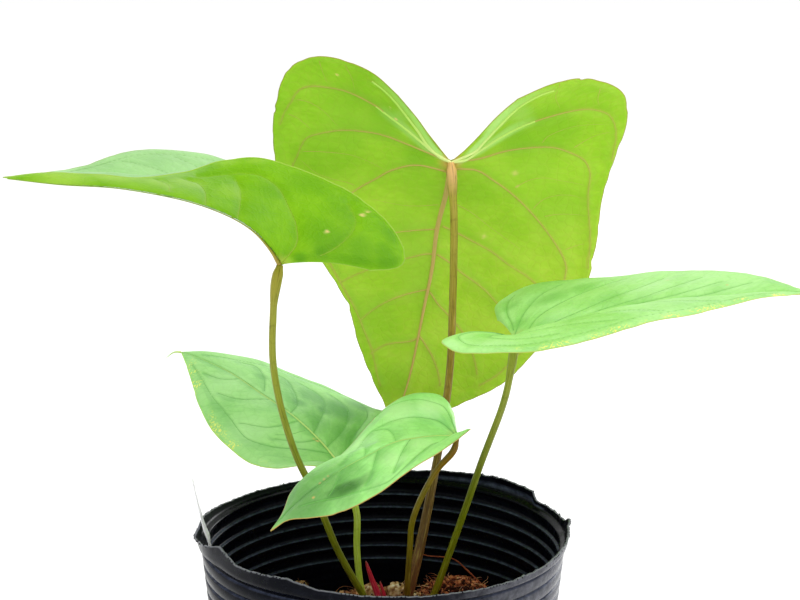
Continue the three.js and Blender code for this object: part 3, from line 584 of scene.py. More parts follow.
def leafSkin(name, look, facing):
    # living leaf: waxed cuticle with soft gloss over cells, thin enough to glow a little; facing is -1 below
    material, tree, surface = startMaterial(
        name, Roughness=0.42, IOR=1.42, Specular_IOR_Level=look["shine"], Subsurface_Weight=0.08,
        Subsurface_Scale=0.0015, Subsurface_Radius=(0.6, 1, 0.25))
    place = addNode(tree, "ShaderNodeTexCoord").outputs["Object"]
    cloud = addNode(tree, "ShaderNodeTexNoise", {"Vector": place, "Scale": 38, "Detail": 5, "Roughness": 0.6})
    cells = addNode(tree, "ShaderNodeTexNoise", {"Vector": place, "Scale": 1100, "Detail": 2})  # about 1 mm
    net = addNode(tree, "ShaderNodeTexVoronoi", {"Vector": place, "Scale": 260}, feature="DISTANCE_TO_EDGE")
    flow = addNode(tree, "ShaderNodeAttribute", attribute_name="flow").outputs["Vector"]
    drawn = addNode(tree, "ShaderNodeMapping", {"Vector": flow, "Scale": (0.4, 0.17, 1)})  # 2.5 by 6 mm
    fibres = {"Vector": drawn.outputs[0], "Scale": 1, "Detail": 6, "Roughness": 0.62}
    weave = addNode(tree, "ShaderNodeTexNoise", fibres).outputs["Fac"]
    facts = {key: addNode(tree, "ShaderNodeAttribute", attribute_name=key).outputs["Fac"]
             for key in bladeFacts}
    mist = cloud.outputs["Fac"]
    finest = {0: net.outputs["Distance"], 1: 0, 2: 0.12, 3: 0.16, 4: 0}  # finest veins, 4 mm apart
    mesh = addNode(tree, "ShaderNodeMapRange", finest).outputs[0]
    speckle = addNode(tree, "ShaderNodeMapRange", {0: cells.outputs["Fac"], 1: 0.53, 2: 0.58, 3: 0, 4: 1})
    freckles = {0: speckle.outputs[0], 1: facts["freckle"]}
    spots = addNode(tree, "ShaderNodeMath", freckles, operation="MULTIPLY")
    colour = layColours(tree, toLinear(look["base"]), [
        (mist, 0.45, 0.68, 0, 0.6, look["glow"]), (mist, 0.5, 0.3, 0, 0.4, look["deep"]),
        (weave, 0.5, 0.72, 0, 0.4, look["glow"]), (weave, 0.5, 0.3, 0, 0.2, look["deep"]),
        # painted highlight and painted shade on the quilted slopes, by how far they turn towards lit
        (facts["paintedHillShading"], 0.04 * facing, 0.7 * facing, 0, 0.9, look["glow"]),
        (facts["paintedHillShading"], -0.04 * facing, -0.7 * facing, 0, 0.9, look["deep"]),
        # halo tone on the finest vein net and beside the veins: beside them it is partly painted shade of the
        # sunk vein valleys on the upper side, and the veins' own tone below
        (mesh, 0, 1, 0, 1, look["halo"]), (facts["vein"], 0.25, 1.1, 0.65, 0, look["halo"]),
        # the shade spots lay painted shade in the patch tone
        (facts["paintedShade"], 0, 1, 0, 1, look["patch"]), (facts["pale"], 0, 1, 0, 1, look["pale"]),
        (spots.outputs[0], 0, 1, 0, 1, "#f2f068"), (facts["heart"], 0, 1, 0, 1, "#e8a869"),
        (facts["margin"], 0.4 * look["edgeWidth"], look["edgeWidth"], 1, 0, look["edge"]),
        (facts["tan"], 0, 1, 0, 1, "#d8b46c" if facing > 0 else "#ffdc98")])
    gloss = addNode(tree, "ShaderNodeMapRange", {0: mist, 1: 0.3, 2: 0.7, 3: 0.34, 4: 0.5})
    tree.links.new(gloss.outputs[0], surface.inputs["Roughness"])
    relief = addNode(tree, "ShaderNodeMath", {0: mesh, 1: -2, 2: weave}, operation="MULTIPLY_ADD")
    dress(tree, surface, colour, relief.outputs[0], 0.4, 0.6)
    return material


def veinSkin(name, tone, tail):
    # vein: fibre bundle under thin skin, redder at the base and paler where it thins out
    material, tree, surface = startMaterial(name, Roughness=0.45, IOR=1.42)
    grain = addNode(tree, "ShaderNodeAttribute", attribute_name="grain").outputs["Vector"]
    run = addNode(tree, "ShaderNodeAttribute", attribute_name="run").outputs["Fac"]
    streak = addNode(tree, "ShaderNodeTexNoise", {"Vector": grain, "Scale": 0.9, "Detail": 3}).outputs["Fac"]
    blend = addNode(tree, "ShaderNodeMath", {0: streak, 1: 0.6, 2: run}, operation="MULTIPLY_ADD")
    colour = addNode(tree, "ShaderNodeValToRGB", {0: blend.outputs[0]}, stops=[(0.2, tone), (1, tail)])
    dress(tree, surface, colour.outputs[0], streak, 0.2, 0.05)
    return material


def spotsOn(blade, seen):
    # where the spots lie that the picture shows, with their radius and strength
    hits = [(seenOnBlade(blade, (x, y)), radius * mm, amount) for x, y, radius, amount in seen]
    return [(hit[3], radius, amount) for hit, radius, amount in hits if hit]


def alongBands(bands):
    # a band is drawn as close spots from each of its places to the next
    steps = bladeShape["bandSteps"]
    return [[a + (b - a) * k / steps for a, b in zip(first, last)]
            for band in bands for first, last in zip(band, band[1:]) for k in range(steps)]


def spotStrength(place, spots):
    strength = 0
    for centre, radius, amount in spots:
        gap = (place - centre).length
        if gap < 1.6 * radius:
            strength = max(strength, amount * (1 - smooth(gap, 0.3 * radius, 1.6 * radius)))
    return strength


def bandStrength(place, spots, nearest):
    if not spots:
        return 0
    _, index, gap = nearest.find(place)
    _, radius, amount = spots[index]
    return amount * (1 - smooth(gap, 0.25 * radius, 1.4 * radius))


def bulge(spot, veinGap, edgeGap):
    # the sheet swells between the veins, ripples, and flutters near its edge
    shape = bladeShape
    near, far = shape["flutterReach"]
    quilt = shape["quilt"] * (1 - math.exp(-veinGap / shape["quiltReach"]))
    quilt *= smooth(edgeGap, 0, shape["quiltEdge"])
    ripple = shape["ripple"] * noise.noise(spot * shape["rippleScale"])
    ripple *= smooth(veinGap, 0, shape["rippleReach"])
    flutter = shape["flutter"] * noise.noise(spot * shape["flutterScale"] + Vector((9, 2, 5)))
    flutter *= (1 - smooth(edgeGap, 0, far)) * smooth(edgeGap, 0, near)
    return quilt + ripple + flutter


def sinusMove(blade, side, t, s):
    # the foot and the corners of the notch between the lobes are round
    back = (blade.at(side, t - 0.05, s) - blade.at(side, t, s)).normalized()
    foot = blade.leaf["sinus"] * smooth(s, 0, 0.16) * (1 - smooth(s, 0.3, 0.75))
    corner = 1.2 * smooth(s, 0.82, 1)
    return back * (foot + corner) * smooth(t, 0.85, 1) * mm


def edgeMove(blade, nicks, side, t, s):
    # the edge waves inwards a little, and further where it is nicked
    inward = (blade.at(side, t, 0.9) - blade.at(side, t, 1)).normalized()
    wave = Vector((t * blade.girth * bladeShape["wavyScale"], blade.ups[side].x * 9, 3))
    bite = bladeShape["wavyEdge"] * max(0, noise.noise(wave))
    for nickSide, place, width, depth in nicks:
        if nickSide == side:
            bite += depth * (1 - smooth(abs(t - place) * blade.girth, 0.2 * width, width))
    return inward * bite * smooth(s, 0.9, 1) * mm


def shapeBlade(blade, paths):
    # each point gets what the skin reads there, and its place in the quilted and nicked sheet
    leaf, bm, at, shares = blade.leaf, blade.bm, blade.at, blade.shares
    steps = bladeShape["midribSteps"]
    onVeins = [at(side, t, s) for kind, side, flat, _, _ in paths if kind != "finestVeins" for t, s in flat]
    onVeins += [at("left", leaf["lobeStart"] * i / steps, 0) for i in range(steps + 1)]
    veins = finder(onVeins)
    edges = finder([vert.co for vert in bm.verts if vert.is_boundary])
    facts = {key: bm.verts.layers.float.new(key) for key in bladeFacts}
    lie, flow = [bm.verts.layers.float_vector.new(key) for key in ("lie", "flow")]
    thick = bm.verts.layers.float.new("thick")
    # spots of pale and tan colour, and spots and bands of painted shade
    spots = {key: spotsOn(blade, leaf[key]) for key in ("pale", "paintedShade", "tan")}
    bands = {key: spotsOn(blade, alongBands(leaf.get(field, [])))
             for key, field in (("pale", "bands"), ("paintedShade", "paintedShadeBands"))}
    nearBands = {key: finder([place for place, _, _ in places]) for key, places in bands.items()}
    seenNicks = [(seenOnBlade(blade, (x, y)), width, depth) for x, y, width, depth in leaf.get("nicks", [])]
    nicks = [(hit[2], hit[0], width, depth) for hit, width, depth in seenNicks if hit]
    base = at("left", 1, 0)
    start, full, fade, end = bladeShape["freckleRun"]
    for vert in bm.verts:
        side = "left" if vert[shares["half"]] < 0.5 else "right"
        t, s = vert[shares["round"]], vert[shares["out"]]
        normal = vert.normal.copy()
        if normal.dot(blade.ups[side]) < 0:
            normal.negate()
        vert[lie] = normal
        veinGap = veins.find(vert.co)[2] / mm
        edgeGap = edges.find(vert.co)[2] / mm
        fromBase = (vert.co - base).length / mm
        vert[facts["vein"]], vert[facts["margin"]] = veinGap, edgeGap
        for key, places in spots.items():
            vert[facts[key]] = spotStrength(vert.co, places)
        for key, places in bands.items():
            vert[facts[key]] = max(vert[facts[key]], bandStrength(vert.co, places, nearBands[key]))
        vert[facts["heart"]] = leaf.get("heart", 0.2) * (1 - smooth(fromBase, *bladeShape["heart"]))
        if leaf.get("freckled") == side:
            inBand = (1 - smooth(edgeGap, *bladeShape["freckleBand"])) * smooth(t, start, full)
            clump = smooth(noise.noise(vert.co / mm * 0.16), -0.15, 0.3)
            vert[facts["freckle"]] = 0.9 * inBand * clump * (1 - smooth(t, fade, end))
        outward = s * (at(side, t, 1) - at(side, t, 0)).length / mm
        vert[flow] = (t * blade.girth, outward if side == "right" else -outward, 0)
        swell = bladeShape["nearVein"] * (1 - smooth(veinGap, 0, bladeShape["nearReach"]))
        vert[thick] = (bladeShape["halfThickness"] + swell) * mm
        if fromBase > 1:
            vert.co += normal * bulge(vert.co / mm, veinGap, edgeGap) * mm
        if t > 0.85 and "sinus" in leaf:
            vert.co += sinusMove(blade, side, t, s)
        if s > 0.9 and 0.04 < t < 0.96:
            vert.co += edgeMove(blade, nicks, side, t, s)
    bm.normal_update()
    # painted highlight and shade: how far the quilting tilts each point towards the light direction lit
    lit = Vector(leaf["lit"]).normalized()
    for vert in bm.verts:
        normal = vert.normal if vert.normal.dot(vert[lie]) > 0 else -vert.normal
        vert[facts["paintedHillShading"]] = bladeShape["paintedHillShadingGain"] * (normal - vert[lie]).dot(lit)
    return facts["margin"], lie, thick


def thickenBlade(bm, margin, lie, thick):
    # the sheet gets a second face below, with its own material, and thins towards its rim
    upper = set(bm.faces)
    made = bmesh.ops.extrude_face_region(bm, geom=list(bm.faces), use_keep_orig=True)["geom"]
    below = {element for element in made if isinstance(element, bmesh.types.BMVert)}
    rim = bladeShape["rimShare"]
    for vert in bm.verts:
        way = -1 if vert in below else 1
        edge = smooth(vert[margin], 0, bladeShape["rimReach"])
        vert.co += Vector(vert[lie]) * vert[thick] * way * (rim + (1 - rim) * edge)
    for face in bm.faces:
        face.smooth = True
        face.material_index = bladeSlots["upper" if face in upper else "under"]
    bmesh.ops.recalc_face_normals(bm, faces=bm.faces)


def layVeins(blade, sheet, paths):
    # veins stand proud of the underside and lie as fine lines on the upper side
    for kind, side, flat, first, last in paths:
        places = [sheet.find_nearest(blade.at(side, t, s))[0] for t, s in flat]
        normals = [normalAt(blade, side, t, s) for t, s in flat]
        widths = taper(flat, first / 2, last / 2)
        deep = bladeShape["halfThickness"] + (0 if kind == "finestVeins" else bladeShape["nearVein"])
        lower = [p - n * deep * 0.9 * mm for p, n in zip(places, normals)]
        higher = [p + n * deep * 0.93 * mm for p, n in zip(places, normals)]
        slot = bladeSlots["veinBright" if kind == "brightVeins" else "veinUnder"]
        heights, wider, thin = [0.8 * w for w in widths], [1.1 * w for w in widths], [0.1 * mm] * len(widths)
        growTube(blade.bm, lower, widths, heights, normals, sides=6, material=slot)
        growTube(blade.bm, higher, wider, thin, normals, sides=6, material=bladeSlots["veinUpper"])


def layMidrib(blade):
    # a keel below and a flat ridge above, from the base nearly to the tip
    leaf, steps = blade.leaf, bladeShape["keelSteps"]
    track = [leaf["lobeStart"] * (1 - 0.988 * i / steps) for i in range(steps + 1)]
    places = [blade.at("left", t, 0) for t in track]
    normals = [midribNormal(blade, t) for t in track]
    falls = [(1 - i / steps) ** leaf.get("keelTaper", 1.3) for i in range(steps + 1)]
    keel = [leaf["joint"] * mm * (0.2 + 0.75 * fall) * 0.62 for fall in falls]
    lower = [p - n * (0.25 * mm + 0.3 * k) for p, n, k in zip(places, normals, keel)]
    higher = [p + n * 0.4 * mm for p, n in zip(places, normals)]
    ridge = [0.22 * mm * (1 - smooth(i, 0.9 * steps, steps)) + 0.01 * mm for i in range(steps + 1)]
    flatter, slimmer = [0.7 * k for k in keel], [0.2 * mm + 0.4 * k for k in keel]
    growTube(blade.bm, lower, keel, flatter, normals, sides=10, material=bladeSlots["midribUnder"])
    growTube(blade.bm, higher, slimmer, ridge, normals, sides=8, material=bladeSlots["midribUpper"])


def addDrip(blade):
    # the thin tail of the tip, drawn in the picture at the tip's distance
    tip = blade.at("left", 0, 0)
    rays = [sightLine(seen) for seen in blade.leaf["drip"]]
    ends = [camera.location + ray * ((tip.y - camera.location.y) / ray.y) for ray in rays]
    path, _ = evenPath([end + tip - ends[0] for end in ends], 0.5 * mm)
    sizes = taper(path, 0.9, 0.15)
    heights, ups = [0.4 * size for size in sizes], [blade.ups["left"]] * len(path)
    growTube(blade.bm, path, sizes, heights, ups, sides=8, material=bladeSlots["midribUpper"])


def makeBlade(place, leaf):
    blade = startBlade(leaf)
    paths = veinPaths(blade)
    layers = shapeBlade(blade, paths)
    sheet = BVHTree.FromBMesh(blade.bm)
    thickenBlade(blade.bm, *layers)
    layVeins(blade, sheet, paths)
    layMidrib(blade)
    if "drip" in leaf:
        addDrip(blade)
    upper, under = leaf["upper"], leaf["under"]
    # in the order of bladeSlots
    materials = [leafSkin(f"leafUpper_{place}", upper, 1), leafSkin(f"leafUnderside_{place}", under, -1),
                 veinSkin(f"veinUnder_{place}", under["vein"], under["halo"]),
                 veinSkin(f"veinUpper_{place}", upper["vein"], upper["halo"]),
                 veinSkin(f"veinBright_{place}", "#f9ffb0", "#d6f67a"),
                 veinSkin(f"midribUpper_{place}", "#d2e68a", "#a8d070"),
                 veinSkin(f"midribUnder_{place}", under["keel"], under["vein"])]
    name, slot, nodes = f"leaf_blade_{place}", f"leaf_{place}", [f"blade_{place}"]
    finishPiece(blade.bm, name, slot, nodes, materials, recalculate=False)
    return blade


# Leaf stalks: thick joint under the blade, slim middle, wider foot on the crown.
# Their colours are listed with the share of the way from blade to crown.
stalkLooks = {
    "back": {"run": [(0, "#efbd74"), (0.03, "#e6b578"), (0.08, "#ac9e3c"), (0.25, "#968a2a"),
                     (0.42, "#86741e"), (0.56, "#84701f"), (0.72, "#685012"), (0.84, "#6c4e22"),
                     (0.92, "#744828"), (1, "#6c341e")],
             "streak": "#b8a050", "deep": "#4c3410"},
    "left": {"run": [(0, "#aa9c38"), (0.12, "#a09c3a"), (0.3, "#88902a"), (0.5, "#748014"),
                     (0.75, "#747a10"), (0.9, "#7c7c10"), (1, "#8c8418")],
             "streak": "#9ea042", "deep": "#50540a"},
    "right": {"run": [(0, "#8c9824"), (0.25, "#869034"), (0.4, "#808a2e"), (0.52, "#6c7812"),
                      (0.75, "#7e8408"), (0.9, "#7e7404"), (1, "#86680a")],
              "streak": "#a0a648", "deep": "#525a0c"},
    "middle": {"run": [(0, "#a8c624"), (0.3, "#b4cc40"), (1, "#b6ce44")], "streak": "#cadb72",
               "deep": "#849a2c"},
    "front": {"run": [(0, "#82601a"), (0.15, "#8a6c12"), (0.3, "#807420"), (0.55, "#82760e"),
                      (0.75, "#705c12"), (0.9, "#6c4c0a"), (1, "#69341c")],
              "streak": "#a48c3c", "deep": "#4c380a"},
}
stalkShape = {"step": 1.2, "sides": 24, "jointLength": 12, "footLength": 25, "ridge": 0.035, "ridges": 9,
              "uneven": 0.04, "unevenScale": 0.11, "dome": (0.62, 4), "sunk": 0.5, "fit": 0.98}


def stalkSkin(name, look):
    # fleshy stalk: smooth skin with fine lengthwise fibres and a soft shine
    material, tree, surface = startMaterial(name, Roughness=0.4, IOR=1.42, Specular_IOR_Level=0.25)
    run = addNode(tree, "ShaderNodeAttribute", attribute_name="run").outputs["Fac"]
    grain = addNode(tree, "ShaderNodeAttribute", attribute_name="grain").outputs["Vector"]
    drawn = addNode(tree, "ShaderNodeMapping", {"Vector": grain, "Scale": (3.2, 3.2, 0.09)}).outputs[0]
    streak = addNode(tree, "ShaderNodeTexNoise", {"Vector": drawn, "Scale": 1.4, "Detail": 4}).outputs["Fac"]
    mottle = addNode(tree, "ShaderNodeTexNoise", {"Vector": grain, "Scale": 0.35, "Detail": 5}).outputs["Fac"]
    along = addNode(tree, "ShaderNodeValToRGB", {0: run}, stops=look["run"]).outputs[0]
    colour = layColours(tree, along, [
        (streak, 0.54, 0.68, 0, 0.6, look["streak"]), (streak, 0.46, 0.34, 0, 0.6, look["deep"]),
        (mottle, 0.56, 0.7, 0, 0.3, look["deep"])])
    dress(tree, surface, colour, streak, 0.35, 0.1)
    return material


def stalkRidges(turn, distance):
    wave = stalkShape["ridge"] * math.cos(stalkShape["ridges"] * turn)
    spot = Vector((math.cos(turn), math.sin(turn), distance / mm * stalkShape["unevenScale"]))
    return wave + stalkShape["uneven"] * noise.noise(spot)


def makeStalk(place, blade):
    leaf, shape = blade.leaf, stalkShape
    start = leaf["lobeStart"]
    seat = blade.at("left", start, 0) - midribNormal(blade, start) * shape["sunk"] * mm
    path, length = evenPath([seat, *[Vector(point) * mm for point in leaf["stalk"]]], shape["step"] * mm)
    length /= mm
    joint, middle, foot = leaf["joint"], leaf["middle"], leaf["foot"]
    lowest, domeEnd = shape["dome"]
    radii = []
    for i in range(len(path)):
        distance = length * i / (len(path) - 1)
        slim = smooth(distance, shape["jointLength"] * 0.5, shape["jointLength"] * 1.5)
        wider = smooth(distance, length - leaf.get("footLength", shape["footLength"]), length)
        dome = lowest + (1 - lowest) * smooth(distance, 0, domeEnd)
        radius = joint + (middle - joint) * slim + (foot - middle) * wider
        radii.append(shape["fit"] * dome * radius * mm)
    bm = bmesh.new()
    growTube(bm, path, radii, sides=shape["sides"], ridges=stalkRidges)
    skin = stalkSkin(f"stalkSkin_{place}", stalkLooks[place])
    finishPiece(bm, f"leaf_stalk_{place}", leaf["slot"], [f"stalk_{place}"], [skin])


for place, leaf in leaves.items():
    makeStalk(place, makeBlade(place, leaf))
print("leaves and stalks made")

# Pot: thin black plastic with ribs and a rim that was cut with shears
pot = {
    "height": 137, "baseRadius": 60.5, "taper": 0.1, "wall": 0.9, "floor": 1.2, "bevel": 2, "steps": 320,
    "ribs": 6, "pitch": 5.9, "ribDepth": 1.3, "flap": 4.4, "flare": 2.4,
    "ribShape": [(0, 0), (0.04, 0), (0.07, 0.25), (0.12, 0.85), (0.17, 1), (0.5, 1.05), (0.83, 1),
                 (0.88, 0.85), (0.93, 0.25), (0.96, 0)],  # shares of the pitch, downwards, and of the depth
    "flapDrops": [0, 0.3, 0.7, 1.3, 2.2, 3.1, 3.4, 3.7, 4, 4.2],
    "rim": [(0, 138.6), (4, 139.6), (6, 137.6), (12, 137), (24, 136.3), (30, 136), (31.5, 139.6), (36, 140.1),
            (48, 140.2), (60, 139.5), (74, 138.2), (90, 136.6), (110, 135.8), (130, 135.5), (150, 136.2),
            (165, 137.5), (173, 138.4), (180, 136), (186, 135.2), (198, 138.5), (206, 141.5), (212, 143.8),
            (217, 142), (223, 140.2), (233, 140.7), (242, 141), (252, 138.7), (267, 137.5), (290, 136.8),
            (325, 136.5), (345, 137), (360, 138.6)],  # degrees round and height
    "folds": [(184, 8, 1.3), (3, 5, 1.4), (212, 9, -0.8)],  # degrees round, width, reach outwards
    "ragged": [(0.35, 26), (0.25, 75), (0.2, 150)],  # how far, and how many waves in the radius
    "buckle": (0.8, 3.2), "waver": (0.2, 60), "spike": (2, 95),  # the same
    "paintedSheen": (85, 125),  # heights between which the painted sheen grows to full
    "sheenSide": -8, "scuffed": 140, "stripe": (24, 75),  # degrees round
    "drains": 6, "drainRadius": 4.5, "drainCircle": 42,
    "burrs": 420, "burrRadii": (0.28, 0.2, 0.06), "seed": 41,
    "burrSpread": ((-0.5, 0.5), (-0.9, 0.9), (0, 0.6), (0.3, 0.75)),  # lean out, round, up; length
}


def potRadius(height):
    return pot["baseRadius"] + pot["taper"] * height


def rimHeight(angle):
    for (before, low), (after, high) in zip(pot["rim"], pot["rim"][1:]):
        if angle <= after:
            return low + (high - low) * (angle - before) / (after - before)


def wallPoints(inset):
    # from the rim down: radius, height, and how much dust and light lie there
    points = []
    for drop in pot["flapDrops"]:
        height = pot["height"] - drop
        flare = pot["flare"] * smooth(1 - drop / pot["flap"], 0, 0.35)
        points.append((potRadius(height) + flare - inset, height, 0))
    crease = pot["height"] - pot["flap"]
    for rib in range(pot["ribs"]):
        for share, depth in pot["ribShape"]:
            height = crease - (rib + share) * pot["pitch"]
            facesUp = share > 0.5 if inset else share < 0.5
            # dust and a painted highlight on the ribs' slopes that face up
            dustAndHighlight = (1 if depth < 0.5 else 0.35) if facesUp and 0.1 < depth < 0.9 else 0
            points.append((potRadius(height) + pot["ribDepth"] * depth - inset, height, dustAndHighlight))
    foot = crease - pot["ribs"] * pot["pitch"]
    for height in (foot, foot - 1, foot - 20, foot - 40, foot - 60, 12, 6):
        points.append((potRadius(height) - inset, height, 0))
    return points


def potSkin():
    # blow-moulded polypropylene: black and satin, with dust, a matt scuffed band inside the flap, painted
    # highlights on the ledges and the cut edge, and a painted sheen on one side
    material, tree, surface = startMaterial(
        "polypropyleneBlack", IOR=1.49, Specular_IOR_Level=0.07, Specular_Tint=(0.85, 0.9, 1, 1))
    place = addNode(tree, "ShaderNodeTexCoord").outputs["Object"]
    facts = {key: addNode(tree, "ShaderNodeAttribute", attribute_name=key).outputs["Fac"]
             for key in ("cutEdge", "innerFlap", "ledge", "outer", "paintedSheen")}
    drawn = addNode(tree, "ShaderNodeMapping", {"Vector": place, "Scale": (60, 60, 420)})  # streaks run round
    around = {"Vector": drawn.outputs[0], "Scale": 1, "Detail": 5}
    streak = addNode(tree, "ShaderNodeTexNoise", around).outputs["Fac"]
    powder = {"Vector": place, "Scale": 240, "Detail": 6, "Roughness": 0.7}
    dust = addNode(tree, "ShaderNodeTexNoise", powder).outputs["Fac"]
    grit = addNode(tree, "ShaderNodeTexNoise", {"Vector": place, "Scale": 1500, "Detail": 2}).outputs["Fac"]
    patch = addNode(tree, "ShaderNodeMapRange", {0: dust, 1: 0.35, 2: 0.6, 3: 0.35, 4: 1}).outputs[0]
    ledgeDustAndHighlight, settled, speckledSheen = [
        addNode(tree, "ShaderNodeMath", {0: first, 1: second}, operation="MULTIPLY").outputs[0]
        for first, second in ((facts["ledge"], patch), (dust, facts["outer"]), (dust, facts["paintedSheen"]))]
    # over the black: streaks and dust, painted sheen on one side, painted highlights on ledges and cut edge
    colour = layColours(tree, toLinear("#04050b"), [
        (streak, 0.5, 0.75, 0, 0.5, "#141722"), (settled, 0.5, 0.72, 0, 0.4, "#2b2c33"),
        (facts["paintedSheen"], 0.1, 0.9, 0, 0.6, "#303036"), (speckledSheen, 0.2, 0.75, 0, 0.75, "#7c7d86"),
        (ledgeDustAndHighlight, 0, 1, 0, 0.9, "#535b72"), (facts["innerFlap"], 0, 1, 0, 0.8, "#1c241f"),
        (facts["cutEdge"], 0.1, 1, 0, 0.8, "#7c7e84")])
    satin = addNode(tree, "ShaderNodeMapRange", {0: dust, 1: 0.35, 2: 0.7, 3: 0.14, 4: 0.36}).outputs[0]
    duller = {0: facts["innerFlap"], 1: 0.3, 2: satin}
    matt = addNode(tree, "ShaderNodeMath", duller, operation="MULTIPLY_ADD").outputs[0]
    tree.links.new(matt, surface.inputs["Roughness"])
    rough = addNode(tree, "ShaderNodeMath", {0: grit, 1: 0.4, 2: streak}, operation="MULTIPLY_ADD").outputs[0]
    dress(tree, surface, colour, rough, 0.2, 0.15)
    return material


def spinProfile(bm, chain, steps):
    # the chain of vertices is swept once round the upright axis
    edges = [bm.edges.new(pair) for pair in zip(chain, chain[1:])]
    bmesh.ops.spin(bm, geom=chain + edges, cent=(0, 0, 0), axis=(0, 0, 1), angle=2 * math.pi, steps=steps,
                   use_merge=True)
    bmesh.ops.remove_doubles(bm, verts=bm.verts, dist=1e-5)


def sweepPot(bm, ledge, outer):
    corner, floor, wall = pot["baseRadius"] - pot["bevel"], pot["floor"], pot["wall"]
    profile = [(radius, height, 0, 1) for radius, height in (
        (0.001, 0.5), (46, 0.5), (52, 0.4), (53, 0), (corner, 0), (corner + 1.3, 0.5), (potRadius(2), 2))]
    profile += [(*point, 1) for point in reversed(wallPoints(0))]
    profile += [(*point, 0) for point in wallPoints(wall)]
    profile += [(radius, height, 0, 0) for radius, height in (
        (potRadius(3) - wall - 0.3, 3), (corner - 0.8, floor + 0.2), (corner - 3, floor), (46, floor),
        (0.001, floor))]
    chain = []
    for radius, height, dustAndHighlight, side in profile:
        vert = bm.verts.new((radius * mm, 0, height * mm))
        vert[ledge], vert[outer] = dustAndHighlight, side
        chain.append(vert)
    spinProfile(bm, chain, pot["steps"])
    bmesh.ops.recalc_face_normals(bm, faces=bm.faces)


def towards(angle, middle):
    # 1 at the middle angle and -1 opposite it; both angles are in degrees
    return math.cos(math.radians(angle - middle))


def buckled(around, angle):
    # how far the top of the flap bends outwards: long waves, and the folds
    depth, waves = pot["buckle"]
    reach = depth * noise.noise(around * waves)
    for place, width, out in pot["folds"]:
        gap = abs(angle - place)
        reach += out * (1 - smooth(min(gap, 360 - gap), 0, width))
    return reach


def torn(around):
    # how far the cut edge rises: a ragged line with a few spikes
    rise = sum(depth * noise.noise(around * waves) for depth, waves in pot["ragged"])
    high, waves = pot["spike"]
    return rise + high * max(0, noise.noise(around * waves + Vector((4, 4, 4))) - 0.4)


def shapeRim(bm, ledge, outer, cutEdge, innerFlap, paintedSheen):
    # the flap above the crease follows the cut, buckles and is torn; each point gets what the skin reads
    crease = pot["height"] - pot["flap"]
    waver, waves = pot["waver"]
    for vert in bm.verts:
        angle = math.degrees(math.atan2(vert.co.y, vert.co.x)) % 360
        # painted sheen on the outside towards one side, growing towards the rim
        sheenFacing = smooth(towards(angle, pot["sheenSide"]), 0.1, 1)
        vert[paintedSheen] = vert[outer] * sheenFacing * (0.25 + 0.75 * smooth(vert.co.z / mm, *pot["paintedSheen"]))
        share = (vert.co.z / mm - crease) / pot["flap"]
        if share <= 0:
            continue
        around = Vector((vert.co.x, vert.co.y, 0)).normalized()
        scuffed = smooth(towards(angle, pot["scuffed"]), 0.6, 0.8)
        vert[innerFlap] = smooth(share, 0.3, 0.45) * (1 - vert[outer]) * scuffed
        # a painted highlight line along the inner flap, between the stripe's angles
        first, last = pot["stripe"]
        if first < angle < last and vert[outer] < 0.5 and 0.4 < share < 0.55:
            vert[ledge] = 0.8
        top = smooth(share, 0.7, 1)
        # the cut edge is painted light grey as a highlight
        vert[cutEdge] = smooth(share, 0.92, 1)
        out = buckled(around, angle) * share * share + waver * top * noise.noise(around * waves)
        vert.co.z += (share * (rimHeight(angle) - pot["height"]) + top * torn(around)) * mm
        vert.co += around * out * mm


def drillDrains(piece):
    # the pot's mesh with a round hole for each drain
    cutter = bmesh.new()
    radius, circle = pot["drainRadius"] * mm, pot["drainCircle"] * mm
    for hole in range(pot["drains"]):
        turn = (hole + 0.5) / pot["drains"] * 2 * math.pi
        spot = Matrix.Translation((circle * math.cos(turn), circle * math.sin(turn), 0))
        bmesh.ops.create_cone(cutter, cap_ends=True, segments=32, radius1=radius, radius2=radius,
                              depth=8 * mm, matrix=spot)
    tool = bpy.data.objects.new("drainCutter", bpy.data.meshes.new("drainCutter"))
    cutter.to_mesh(tool.data)
    cutter.free()
    bpy.context.scene.collection.objects.link(tool)
    drill = piece.modifiers.new("drains", "BOOLEAN")
    drill.object = tool
    drill.operation = "DIFFERENCE"
    drill.solver = "EXACT"
    bpy.context.view_layer.update()
    drilled = bpy.data.meshes.new_from_object(piece.evaluated_get(bpy.context.evaluated_depsgraph_get()))
    piece.modifiers.clear()
    bpy.data.objects.remove(tool)
    return drilled


def addBurrs(mesh):
    # the shears left burrs along the rim
    rng = random.Random(pot["seed"])
    bm = bmesh.new()
    bm.from_mesh(mesh)
    cutEdge = bm.verts.layers.float["cutEdge"]
    roots = [vert.co.copy() for vert in bm.verts if vert[cutEdge] > 0.95]
    radii = [radius * mm for radius in pot["burrRadii"]]
    up = Vector((0, 0, 1))
    for _ in range(pot["burrs"]):
        root = rng.choice(roots)
        out = Vector((root.x, root.y, 0)).normalized()
        outward, along, upward, length = draw(rng, pot["burrSpread"])
        reach = (out * outward + out.cross(up) * along + up * upward) * length * mm
        growTube(bm, [root - up * 0.3 * mm, root + reach * 0.5, root + reach], radii, sides=4)
    bm.to_mesh(mesh)
    bm.free()


def makePot():
    bm = bmesh.new()
    ledge, outer, cutEdge, innerFlap, paintedSheen = [
        bm.verts.layers.float.new(key) for key in ("ledge", "outer", "cutEdge", "innerFlap", "paintedSheen")]
    sweepPot(bm, ledge, outer)
    shapeRim(bm, ledge, outer, cutEdge, innerFlap, paintedSheen)
    for face in bm.faces:
        face.smooth = True
    piece = finishPiece(bm, "nursery_pot", "pot_plastic", ["pot"], [potSkin()], recalculate=False)
    drilled = drillDrains(piece)
    addBurrs(drilled)
    piece.data = drilled
    print("pot made")


makePot()

